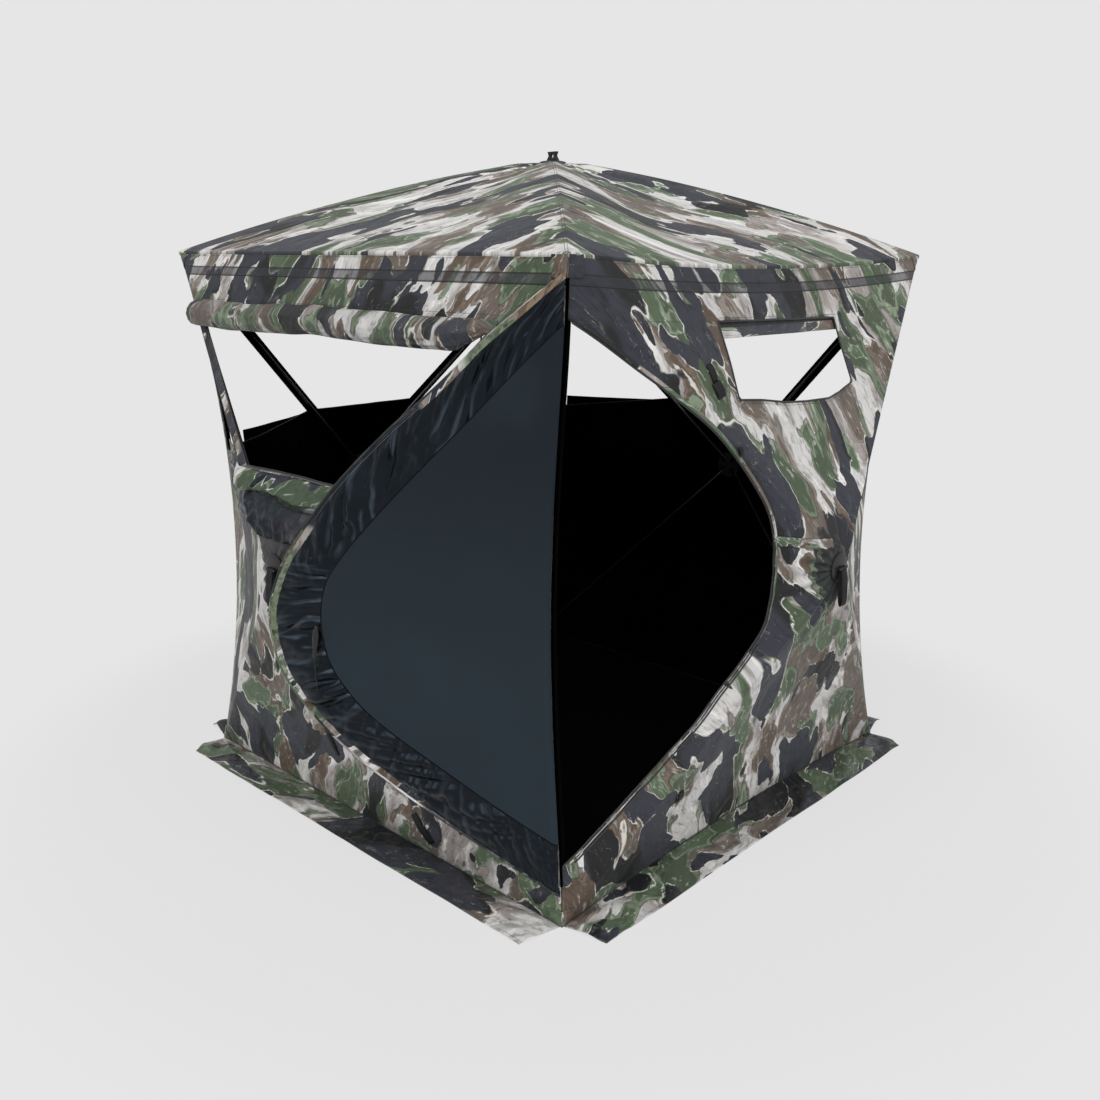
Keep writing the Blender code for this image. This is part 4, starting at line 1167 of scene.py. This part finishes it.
def make_roll(side):
    """The roll: an oval whose crown is drawn back to the wall, where its cloth comes down from.

    It thins towards its ends, and on the door's side it is pressed flat behind the open leaf.
    """
    rows, steps, bare = 190, 56, 0.046
    reach = corner_line(side, np.array((-1.0, 1.0)), np.full(2, WINDOW_TOP))[1] - SEAM_GAP
    start, end = bare - reach[0], 0.622 if side == "left" else reach[1] - bare
    along = np.linspace(start, end, rows)
    angle = np.linspace(math.pi, 3 * math.pi, steps, endpoint=False)
    _, out = gauge(side, along, np.full(rows, WINDOW_TOP))
    seed = 90 + TURN[side]
    room, tall, shift = np.full(rows, 1.0), np.full(rows, ROLL_TALL), 0.0
    if side == "left":
        room = EAVE_HALF + (EAVE_HALF - along) * 0.382 - out - 0.011
        tall = tall * (1 - 0.75 * rise(along, 0.50, 0.622))
        shift = ROLL_TALL - tall
    taper = 0.25 + 0.75 * rise(along - start, 0.0, 0.16)
    if side != "left":
        taper = taper * (0.25 + 0.75 * rise(end - along, 0.0, 0.16))
    thick = np.clip(room, 0.0045, ROLL_THICK) * taper
    tall = tall * (0.55 + 0.45 * taper)
    droop = 0.003 * ripple(seed, 0.5, along)
    if side == "left":
        droop = droop - 0.007 * rise(along, 0.1, 0.45)
    a, t = np.meshgrid(along, angle, indexing="ij")
    half = thick[:, None] / 2
    lip = 0.0014 * (1 - (t - 4.1) % (2 * math.pi) / (2 * math.pi))
    crease = 0.0016 * ripple(seed + 1, 0.016, a * 0.10, t * 0.03)
    crease = (crease + 0.0020 * ripple(seed + 2, 0.20, a, t * 0.03)) * half / 0.020
    drawn = np.maximum(np.sin(t), 0) ** 2.5
    swell = 1 + 0.05 * ripple(seed + 3, 0.35, a)
    across = (half * swell + lip + crease) * np.cos(t) - (half + 0.0010) * drawn
    up = (tall[:, None] * swell + lip + crease) * np.sin(t) + 0.0075 * drawn
    rings = placed(side, out[:, None] + 0.0042 + half + across, a,
                   ROLL_UP + (droop + shift)[:, None] + up)
    cloth = printed("camo_roll_" + side, seed=23.0 + TURN[side] / 40, depth=0.80, roughness=0.55,
                    lean=1.2)
    made = shape("rolled_cover_" + side, [lofted(rings, along, angle * 0.03)], cloth)
    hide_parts("window_roll_" + side)
    follow_hub(made, side)


# Lower window covers: the lower half of each window's cloth, let down in front of the wall and
# bunched in soft folds below the sill.


def drop_cloth(side):
    """Below its top hem the cover shows its dark satin side, with traces of the print."""
    cloth = Finish("camo_drop_" + side, {"Specular IOR Level": 0.22,
                                         "Specular Tint": (0.66, 0.80, 1.0, 1.0)})
    place = cloth.uv("cut")
    up = cloth.part(place, 1)
    colour, bark = camouflage(cloth, place, seed=41.0 + TURN[side] / 30, depth=0.9, lean=-0.4,
                              more=0.03)
    wave = cloth.noise(cloth.moved(place, (5, 5, 0), (2, 0, 0)), 1.0, 2.0)
    fold = up + (wave - 0.5) * 0.04
    dark = fold.between(0.950, 0.944)
    colour = cloth.mix(colour, linear(20, 22, 30), dark * 0.93)
    # Painted shade: a near-black line along the fold where the cover turns under.
    colour = cloth.mix(colour, linear(6, 6, 8), fold.near(0.948, 0.007) * 0.8)
    relief = (creases(cloth, place, seed=4.0 + TURN[side], size=0.07, height=0.009)
              + weave(cloth, place))
    return cloth.finished(colour, bark * 0.10 + 0.40 - dark * 0.10, relief)


def make_drop(side):
    """The let-down cloth: a profile of folds in (up, stand-off), carried along the wall."""
    rows, steps, least = 60, 190, 0.0030
    folds = np.array(((1.0095, 0.0), (1.000, 0.008), (0.984, 0.014), (0.966, 0.020),
                      (0.950, 0.004), (0.938, 0.010), (0.920, 0.021), (0.895, 0.024),
                      (0.872, 0.010), (0.858, 0.0)))
    profile = spline(folds, rows, closed=False)
    f = np.linspace(-1, 1, steps)
    reach = []
    for sign in (-1.0, 1.0):
        short = 0.440 if (side, sign) == ("left", 1.0) else 0.085
        reach.append(corner_line(side, np.full(rows, sign), profile[:, 0])[1] - SEAM_GAP - short)
    seed = 40 + TURN[side]
    along = f[None, :] * np.where(f[None, :] < 0, reach[0][:, None], reach[1][:, None])
    up = np.broadcast_to(profile[:, :1], along.shape)
    height = np.arange(rows) / (rows - 1)
    loose = (rise(height, 0.0, 0.12) * rise(1 - height, 0.0, 0.12))[:, None]
    v_fold = ripple(seed, 0.11, along + 1.3 * np.abs(up - 0.93), up * 0.4)
    tuck = np.clip(1 - 1.7 * np.abs(ripple(seed + 4, 0.10, along - 0.9 * up, up)), 0, 1) ** 2
    stand = 0.0045 + profile[:, 1:] * (0.85 + 0.25 * ripple(seed + 1, 0.4, along))
    stand = stand + 0.0060 * v_fold * loose + 0.0060 * tuck * loose
    stand = stand + 0.0012 * ripple(seed + 2, 0.03, along, up) * loose
    taper = rise(1 - np.abs(f), 0.0, 0.16)
    stand = np.maximum(least + (stand - least) * taper, least)
    up = up + 0.010 * ripple(seed + 3, 0.3, along) * loose
    run = length_along(profile)
    places = np.stack((along, np.broadcast_to(1.0 - run[:, None] * 0.75, along.shape)), axis=-1)
    made = piece("let_down_cover_" + side, on_wall(side, along, up, stand), grid(rows, steps),
                 [drop_cloth(side), black_inside], {"cut": places})
    outwards(made)
    thicken(made, CLOTH_THICK)
    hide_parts("window_drop_" + side)
    follow_hub(made, side)


for side in WINDOW_WALLS:
    make_roll(side)
    make_drop(side)


# Front window's cover: a strip that slides behind the wall. It is let down a little, so that its
# printed hem shows in the top of the window under its black header.


def make_cover():
    """A flat grid behind the wall, with shallow waves in its lower part."""
    along, up = np.meshgrid(np.linspace(-0.30, 0.30, 90), np.linspace(1.358, 1.412, 14))
    wave = 0.0012 * ripple(71, 0.12, along, up) * (up < 1.40)
    points = on_wall("front", along, up, wave - 0.0065)
    cloth = Finish("camo_front_cover", {"Sheen Weight": 0.1})
    place = cloth.uv("cut")
    colour, bark = camouflage(cloth, place, seed=61.0)
    header = cloth.part(place, 1).between(1.3815, 1.3825)
    colour = cloth.mix(colour, linear(9, 9, 10), header)
    seam = stitches(cloth, cloth.part(place, 1) - 1.364, cloth.part(place, 0))
    colour = cloth.mix(colour, linear(40, 39, 38), seam * 0.7)
    finish = cloth.finished(colour, bark * 0.14 + 0.5,
                            creases(cloth, place, seed=3.0, size=0.04, height=0.003))
    made = piece("front_cover", points, grid(14, 90), [finish, black_inside],
                 {"cut": np.stack((along, up), axis=-1)})
    outwards(made)
    thicken(made, 0.001)
    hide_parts("front_window_cover")
    follow_hub(made, "front")


make_cover()


# Door leaf: the front wall's own cloth on a cord hinge at the corner, folded back before the left
# wall. Its inner side shows: a smooth charcoal lining in a wide band of puckered black satin, and
# the printed outer cloth turned over its edge.

# The leaf's own axes: its foot at the corner, up the hinge, away from it, and out of its face.
LEAF_FOOT = np.array((0.7634, -0.7634, 0.0))
LEAF_UP = np.array((0.7754, -0.7754, EAVE_UP)) - LEAF_FOOT
LEAF_UP /= np.linalg.norm(LEAF_UP)
LEAF_OPEN = math.radians(200.94)
LEAF_AWAY = np.array((math.cos(LEAF_OPEN), math.sin(LEAF_OPEN), 0))
LEAF_AWAY -= LEAF_AWAY.dot(LEAF_UP) * LEAF_UP
LEAF_AWAY /= np.linalg.norm(LEAF_AWAY)
LEAF_FACE = -np.cross(LEAF_AWAY, LEAF_UP)

# The free edge and the lining's edge, each from top to bottom, as (away, up).
LEAF_EDGE = ((0.003, 1.516), (0.106, 1.435), (0.196, 1.364), (0.298, 1.272), (0.438, 1.155),
             (0.579, 1.020), (0.691, 0.882), (0.745, 0.800), (0.781, 0.704), (0.782, 0.633),
             (0.762, 0.548), (0.706, 0.469), (0.592, 0.368), (0.417, 0.268), (0.254, 0.192),
             (0.081, 0.120), (0.003, 0.084))
LINING_EDGE = ((0.004, 1.407), (0.061, 1.353), (0.201, 1.217), (0.327, 1.100), (0.463, 0.965),
               (0.567, 0.850), (0.617, 0.772), (0.632, 0.677), (0.612, 0.580), (0.551, 0.500),
               (0.480, 0.445), (0.371, 0.386), (0.212, 0.312), (0.004, 0.221))


def on_leaf(away, up, stand):
    """World points on the open leaf, standing off it towards its inner side. Near the hinge they
    bow along with the corner's seam."""
    height = np.clip(up / EAVE_UP, 0, 1)
    bow = DOOR_BOW * (4 * height * (1 - height)) ** 2 * (1 - rise(away, 0.0, 0.30))
    away = away + bow
    return (LEAF_FOOT + away[..., None] * LEAF_AWAY + up[..., None] * LEAF_UP
            + np.broadcast_to(stand, away.shape)[..., None] * LEAF_FACE)


def band_cloth():
    """Black satin that turns into the printed cloth at the edge. hem holds (gap to the free edge,
    length along it). Its folds run aslant along the falling edge, across the edge round the nose,
    and upright and faint along the level run below."""
    cloth = Finish("leaf_band", {"Specular IOR Level": 0.22,
                                 "Specular Tint": (0.62, 0.80, 1.0, 1.0)})
    place, hem = cloth.uv("cut"), cloth.uv("hem")
    gap, run = cloth.part(hem, 0), cloth.part(hem, 1)
    fine = cloth.noise(cloth.moved(hem, (40, 40, 0), (0, 0, 3)), 1.0, 3.0, 0.6)
    worn = cloth.noise(cloth.moved(place, (6, 6, 0), (4, 0, 0)), 1.0, 4.0, 0.6)
    satin = cloth.mix(linear(8, 10, 13), linear(16, 19, 24), worn.between(0.4, 0.7) * 0.7)
    bent = cloth.moved(cloth.noise(place, 6.0, 1.0, result=1), (0.07, 0.07, 0), hem)

    def folds(turn, per_metre, step):
        """(height, lit flank) of valleys that run along a noise's middle level. The noise is
        turned and stretched, and the flank's slope is the height's change over a step."""
        at = cloth.add("Mapping", {"Vector": bent, "Rotation": (0, 0, turn)})
        at = cloth.moved(at, (*per_metre, 0), (5, 0, 3))
        height, beyond = [
            (cloth.noise(spot, 1.0, 1.5, 0.45) - 0.5).math("ABSOLUTE").math("MINIMUM", 0.16)
            for spot in (at, cloth.moved(at, (1, 1, 1), (*step, 0)))]
        return height, (beyond - height).between(0.012, 0.075)

    falling = run.between(1.10, 0.92)
    nose = run.between(0.92, 1.10) * run.between(1.60, 1.42)
    level = run.between(1.42, 1.60)
    height, lit = 0.0, 0.0
    for share, turn, per_metre, step in ((falling, 0.44, (22, 4.5), (0.14, 0)),
                                         (nose, 0.0, (5, 19), (0, 0.14)),
                                         (level, 0.55, (4.5, 17), (0, 0.14))):
        fold, flank = folds(turn, per_metre, step)
        height, lit = height + fold * share, lit + flank * share
    satin = cloth.mix(satin, linear(11, 11, 12), level * 0.6)
    # Painted highlights on the folds' flanks that face the light above, fainter on the level run.
    satin = cloth.mix(satin, linear(60, 68, 77), lit * (0.60 - level * 0.42))
    # Painted shade in the folds' valleys.
    satin = cloth.mix(satin, linear(3, 4, 5), height.between(0.035, 0.0) * 0.7)
    colour, _ = camouflage(cloth, place, seed=83.0, lean=0.8)
    tan = cloth.mix(linear(128, 112, 94), linear(96, 82, 68), fine.between(0.45, 0.55))
    green = cloth.mix(linear(98, 112, 84), linear(58, 72, 52), fine.between(0.46, 0.56))
    edging = cloth.mix(colour, tan, run.between(0.17, 0.13))
    edging = cloth.mix(edging, green, run.between(0.13, 0.17) * run.between(0.32, 0.28) * 0.9)
    edging = cloth.mix(edging, green, run.between(0.95, 0.98) * run.between(1.26, 1.22) * 0.8)
    edging = cloth.mix(edging, linear(150, 146, 138),
                       run.between(0.85, 0.87) * run.between(0.95, 0.93) * 0.8)
    edging = cloth.mix(edging, linear(24, 26, 30),
                       run.between(0.44, 0.46) * run.between(0.90, 0.88) * 0.95)
    edging = cloth.mix(edging, linear(34, 36, 42), run.between(1.78, 1.82) * 0.8)
    upper = gap.between(0.0170, 0.0160) * run.between(0.46, 0.45)
    thin = gap.between(0.0070, 0.0064)
    lower = (gap + (fine - 0.5) * 0.008).between(0.024, 0.023) * run.between(0.85, 0.89)
    turned = upper.math("MAXIMUM", thin).math("MAXIMUM", lower * run.between(1.84, 1.74))
    colour = cloth.mix(satin, edging, turned)
    rows = (gap - 0.024, gap - 0.112, gap - 0.118)
    sewn = sum(stitches(cloth, row, run) for row in rows)
    light_row = stitches(cloth, gap - 0.0100, run) * run.between(0.44, 0.46)
    line = (gap - 0.0178).near(0.0, 0.0022) * run.between(0.47, 0.45)
    colour = cloth.mix(colour, linear(6, 6, 7), (sewn + line) * 0.6)
    colour = cloth.mix(colour, linear(112, 112, 114), light_row * (1 - lower) * 0.7)
    relief = (height * 0.045 + creases(cloth, place, seed=5.0, size=0.08, height=0.003)
              - sewn * 0.0004)
    return cloth.finished(colour, worn * 0.12 + 0.24, relief)


def lining_cloth():
    """Charcoal knit, a little lighter towards the ground, with soft worn and dusty places."""
    cloth = Finish("leaf_lining", {"Specular IOR Level": 0.12})
    place = cloth.uv("cut")
    worn = cloth.noise(cloth.moved(place, (2.5, 2.5, 0), (8, 0, 0)), 1.0, 3.0, 0.5)
    dust = cloth.noise(cloth.moved(place, (220, 220, 0), (0, 3, 0)), 1.0, 2.0, 0.6)
    top = cloth.part(place, 1).between(0.45, 1.35)
    tone = cloth.mix(linear(34, 43, 50), linear(23, 30, 36), top)
    tone = cloth.mix(tone, linear(40, 50, 57), worn.between(0.5, 0.8) * 0.35)
    tone = cloth.mix(tone, linear(46, 55, 62), dust.between(0.6, 0.8) * 0.2)
    relief = creases(cloth, place, seed=2.0, size=0.40, height=0.004) + weave(cloth, place)
    return cloth.finished(tone, worn * 0.1 + 0.70, relief)


def binding_cloth():
    """The cord round the leaf's edge: printed, but black along its middle part."""
    cloth = Finish("camo_binding", {"Specular IOR Level": 0.35})
    place = cloth.uv("cut")
    run = cloth.part(place, 0)
    colour, bark = camouflage(cloth, place, seed=95.0, depth=0.9)
    dark = (run.between(0.42, 0.44) * run.between(0.88, 0.86)).math("MAXIMUM",
                                                                  run.between(1.74, 1.80))
    colour = cloth.mix(colour, linear(24, 25, 29), dark * 0.95)
    relief = creases(cloth, place, seed=95.0, size=0.01, height=0.001) + weave(cloth, place)
    return cloth.finished(colour, bark * 0.14 + 0.48, relief)


def make_leaf():
    """The leaf's sheet; gives its free edge, as (away, up).

    Rows run from the hinge out to the lining's edge, then on to the free edge, and columns follow
    the two edges from top to bottom in even steps. The band between the edges swells between its
    seams, with folds where a ripple passes zero.
    """
    columns, inner, outer, hinge_zone = 560, 44, 40, 0.060
    edge = spline(LEAF_EDGE, columns, closed=False)
    lining = spline(LINING_EDGE, columns, closed=False)
    hinge = np.column_stack((np.full(columns, 0.003), lining[:, 1]))
    f = np.linspace(0, 1, inner)[:, None, None]
    g = np.linspace(0, 1, outer + 1)[1:, None, None]
    flat = np.concatenate((hinge + (lining - hinge) * f, lining + (edge - lining) * g))
    away, up = flat[..., 0], flat[..., 1]
    run = length_along(edge)
    width = np.linalg.norm(edge - lining, axis=1)
    g = g[:, :, 0]
    wide = np.broadcast_to(run, (outer, columns))
    swell = np.sin(math.pi * np.clip((g - 0.02) / 0.88, 0, 1)) ** 0.7 * rise(width, 0.02, 0.10)
    nose = rise(run, 0.92, 1.10) * (1 - rise(run, 1.42, 1.60))
    pucker = ripple(31, 0.045, wide, g * 0.14)
    in_from_edge = (1 - g) * width
    slant = np.abs(ripple(32, 0.085, 0.905 * in_from_edge - 0.426 * wide,
                          0.10 * in_from_edge + 0.20 * wide))
    across_edge = np.abs(ripple(33, 0.110, wide, 0.25 * in_from_edge))
    fold = slant * (1 - nose) + across_edge * nose
    band = swell * (0.003 + 0.0012 * pucker + 0.0150 * fold)
    free = rise(away[:inner], 0.0, 0.30) * (1 - f[:, :, 0] ** 6)
    smooth = 0.003 * free * (0.6 + ripple(34, 0.9, away[:inner], up[:inner]))
    stand = np.concatenate((smooth + 0.001, np.maximum(band, 0) + 0.001))
    stand = stand + 0.0065 * rise(away, 0.0, 0.02) * (1 - rise(away, 0.15, 0.40))
    gap = np.concatenate((np.full((inner, columns), 1.0), (1 - g) * width))
    places = np.stack((away, up), axis=-1)
    hem = np.stack((gap, np.broadcast_to(run, gap.shape)), axis=-1)
    quads = grid(inner + outer, columns)
    slots = np.repeat(np.arange(inner + outer - 1) >= inner - 1, columns - 1)
    outer_cloth = printed("camo_leaf", seed=83.0, depth=1.0, roughness=0.6, size=0.08, height=0.006,
                          lean=0.8)
    made = piece("leaf_cloth", on_leaf(away, up, stand), quads,
                 [lining_cloth(), band_cloth(), outer_cloth, outer_cloth],
                 {"cut": places, "hem": hem}, slots)
    middle = LEAF_FOOT + 0.3 * LEAF_AWAY + 0.7 * LEAF_UP - LEAF_FACE
    outwards(made, middle)
    thicken(made, 0.0014, 2)
    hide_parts("door_leaf", "door_lining")
    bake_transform(made)
    weigh(rise(away, 0.0, hinge_zone))
    return edge


def trim_leaf(edge):
    """The zip's pull on the band, and the cord that binds the leaf's free edge."""
    t = np.linspace(0, 1, 12)
    tab = on_leaf(0.640 + 0.006 * t, 0.675 - 0.080 * t, 0.014 + 0.006 * t)
    cord = on_leaf(np.full(12, 0.646), 0.597 - 0.117 * t, 0.020 - 0.008 * t)
    tab_wide = np.interp(t, (0, 0.3, 1), (0.006, 0.020, 0.008))
    pull = shape("leaf_zip_pull", [strip(tab, LEAF_FACE, tab_wide, 0.0024),
                                   strip(cord, LEAF_FACE, 0.0026, 0.0026)], pull_tape)
    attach(pull, "door")
    rim = on_leaf(edge[:, 0], edge[:, 1], 0.0006)[9:-9]
    binding_cord = shape("leaf_binding", [strip(rim, LEAF_FACE, 0.0065, 0.0055)],
                         binding_cloth())
    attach(binding_cord, "door")


pull_tape = plain_cloth("pull_tape", linear(11, 10, 10), seed=12.0, roughness=0.55, size=0.02,
                        height=0.001)
trim_leaf(make_leaf())


# Ground skirts: a flap of the printed cloth along each hem, spread on the ground and held there
# with whatever lies about. It is glossier, and waves a little between its pleats.

SKIRT_WIDE = 0.124


def make_skirt(side):
    """A grid from the hem outwards (across) and along it (f). Its height adds broad waves, pleats
    near its ends and gathers that fan out from each corner, and comes down at the free edge."""
    rows, steps = 26, 210
    across, f = np.meshgrid(np.linspace(0, 1, rows), np.linspace(1, -1, steps), indexing="ij")
    reach = 0.7575 - 0.0225 * across
    along = f * reach
    seed = 130 + TURN[side]
    lift = HEM_LIFT.get(side, 0) * (1 - (along / HEM_HALF) ** 2) * np.maximum(0, 1 - across / 0.7)
    wave = 0.5 + 0.5 * ripple(seed, 0.16, along + 0.25 * across, across * 0.04)
    pleat = 0.5 + 0.5 * ripple(seed + 1, 0.05, along)
    near_end = 1 - rise(reach - np.abs(along), 0.0, 0.22)
    up = 0.0016 + lift + (0.010 * wave + 0.008 * pleat * near_end) * rise(across, 0.05, 0.8)
    corner = HEM_HALF - np.abs(along)
    out = SKIRT_WIDE * across
    around, far = np.arctan2(out, corner), np.hypot(out, corner)
    gathers = (0.5 + 0.5 * np.sin(10 * around + seed)) ** 2 * rise(across, 0.05, 0.30)
    up = up + 0.008 * gathers * rise(far, 0.012, 0.05) * (1 - rise(far, 0.12, 0.26))
    up = np.maximum(up * (1 - 0.75 * rise(across, 0.75, 1.0)), 0.0014)
    points = placed(side, 0.756 + out + 0.0022 * ripple(seed + 2, 0.5, along) * across, along, up)
    cloth = Finish("camo_skirt_" + side, {"Specular IOR Level": 0.45, "Sheen Weight": 0.05})
    place = cloth.uv("cut")
    run, edge = cloth.part(place, 0), cloth.part(place, 1)
    if side == "left":
        grow = run.between(-0.12, 0.05) * run.between(0.58, 0.45) * 0.16 - 0.035
    else:
        grow = run.between(-0.15, 0.25) * 0.13
    colour, bark = camouflage(cloth, place, seed=57.0 + TURN[side] / 25, depth=0.84, lean=0.3,
                              more=grow)
    sewn = stitches(cloth, edge - 0.116, run) + stitches(cloth, edge - 0.008, run)
    colour = cloth.mix(colour, linear(40, 39, 38), sewn * 0.6)
    # Painted shade: the skirt's strip under the wall's hem, inside the blind, is painted black.
    colour = cloth.mix(colour, linear(2, 2, 2), edge.between(0.0070, 0.0055))
    relief = (creases(cloth, place, seed=seed / 9, size=0.05, height=0.008)
              + weave(cloth, place) - sewn * 0.0004)
    finish = cloth.finished(colour, bark * 0.12 + 0.32, relief)
    made = piece("ground_skirt_" + side, points, grid(rows, steps), [finish, black_inside],
                 {"cut": np.stack((along, out), axis=-1)})
    outwards(made, (0, 0, -1))
    thicken(made, 0.0011)
    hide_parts("skirt_" + side)
    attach(made, "shell")


for side in TURN:
    make_skirt(side)


# Pull loops: a length of black webbing round the bar of each wall hub's cap, sewn to itself. The
# hub is pulled out by it.


def webbing_finish():
    """Black webbing: ribs across its run, with a twill over them."""
    cloth = Finish("woven_webbing", {"Specular IOR Level": 0.3})
    place = cloth.uv("cut")
    run, across = cloth.part(place, 0), cloth.part(place, 1)
    rib = (run * (2 * math.pi / 0.0016)).math("SINE")
    twill = ((run + across * 2.0) * (2 * math.pi / 0.0032)).math("SINE")
    worn = cloth.noise(cloth.moved(place, (60, 200, 0), (0, 0, 2)), 1.0, 3.0, 0.6)
    tone = cloth.mix(linear(17, 17, 18), linear(46, 45, 44), worn.between(0.45, 0.8) * 0.7)
    return cloth.finished(tone, worn * 0.2 + 0.7, rib * 0.0001 + twill * 0.00008)


webbing = webbing_finish()
LOOP_WIDE, LOOP_THICK, LOOP_DROP = 0.026, 0.0018, 0.101


def make_pull(side):
    """A drop-shaped closed loop that hangs from the bar: out and back along two runs."""
    t = np.linspace(0, 2 * math.pi, 72, endpoint=False)
    drop = LOOP_DROP / 2 * (1 - np.cos(t)) + 0.0008
    away = 0.0043 * np.sin(t) * (1 + 0.9 * (1 - np.cos(t)) / 2)
    lean = 0.004 * rise(drop, 0.01, 0.10)
    path = placed(side, 1.0166 + away + lean, 0.0, HUB_UP + 0.0035 - drop)
    face = np.cross(placed(side, 0.0, 1.0, 0.0), np.gradient(path, axis=0))
    made = shape("webbing_loop_" + side, [strip(path, face, LOOP_WIDE, LOOP_THICK, 12, True)],
                 webbing)
    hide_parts("pull_loop_" + side)
    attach(made, "hub_" + side)


for side in TURN:
    make_pull(side)


# Moulded parts and poles keep the frame's own solids: black nylon hubs, caps and corner pockets,
# and pulled fibreglass rods with ferrules.


def plastic_finish():
    """Black nylon with a fine grain and pale scuffs."""
    part = Finish("moulded_nylon", {"Specular IOR Level": 0.45})
    here = part.add("TexCoord", {}, result="Object")
    grain = part.noise(here, 900.0, 2.0, 0.6)
    scuff = part.noise(here, 60.0, 4.0, 0.65)
    tone = part.mix(linear(20, 20, 21), linear(52, 51, 50), scuff.between(0.55, 0.8) * 0.5)
    return part.finished(tone, scuff * 0.25 + 0.32, grain * 0.00008 + scuff * 0.0001)


def rod_finish():
    """Black rod, drawn out along Z, under a thin coat."""
    part = Finish("pulled_fibreglass", {"Specular IOR Level": 0.5, "Coat Weight": 0.3,
                                        "Coat Roughness": 0.25})
    here = part.add("TexCoord", {}, result="Object")
    fibre = part.noise(part.moved(here, (260, 260, 30), (0, 0, 0)), 1.0, 3.0, 0.6)
    tone = part.mix(linear(14, 14, 15), linear(44, 43, 41), fibre.between(0.45, 0.8) * 0.5)
    return part.finished(tone, fibre * 0.2 + 0.34, fibre * 0.0001)


nylon, rod_glass = plastic_finish(), rod_finish()
for name, solid in solids.items():
    for starts, finish in ((("hub_", "roof_corner_", "ground_corner_"), nylon),
                           (("pole_",), rod_glass)):
        if name.startswith(starts):
            solid.data.materials.clear()
            solid.data.materials.append(finish)


low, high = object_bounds()
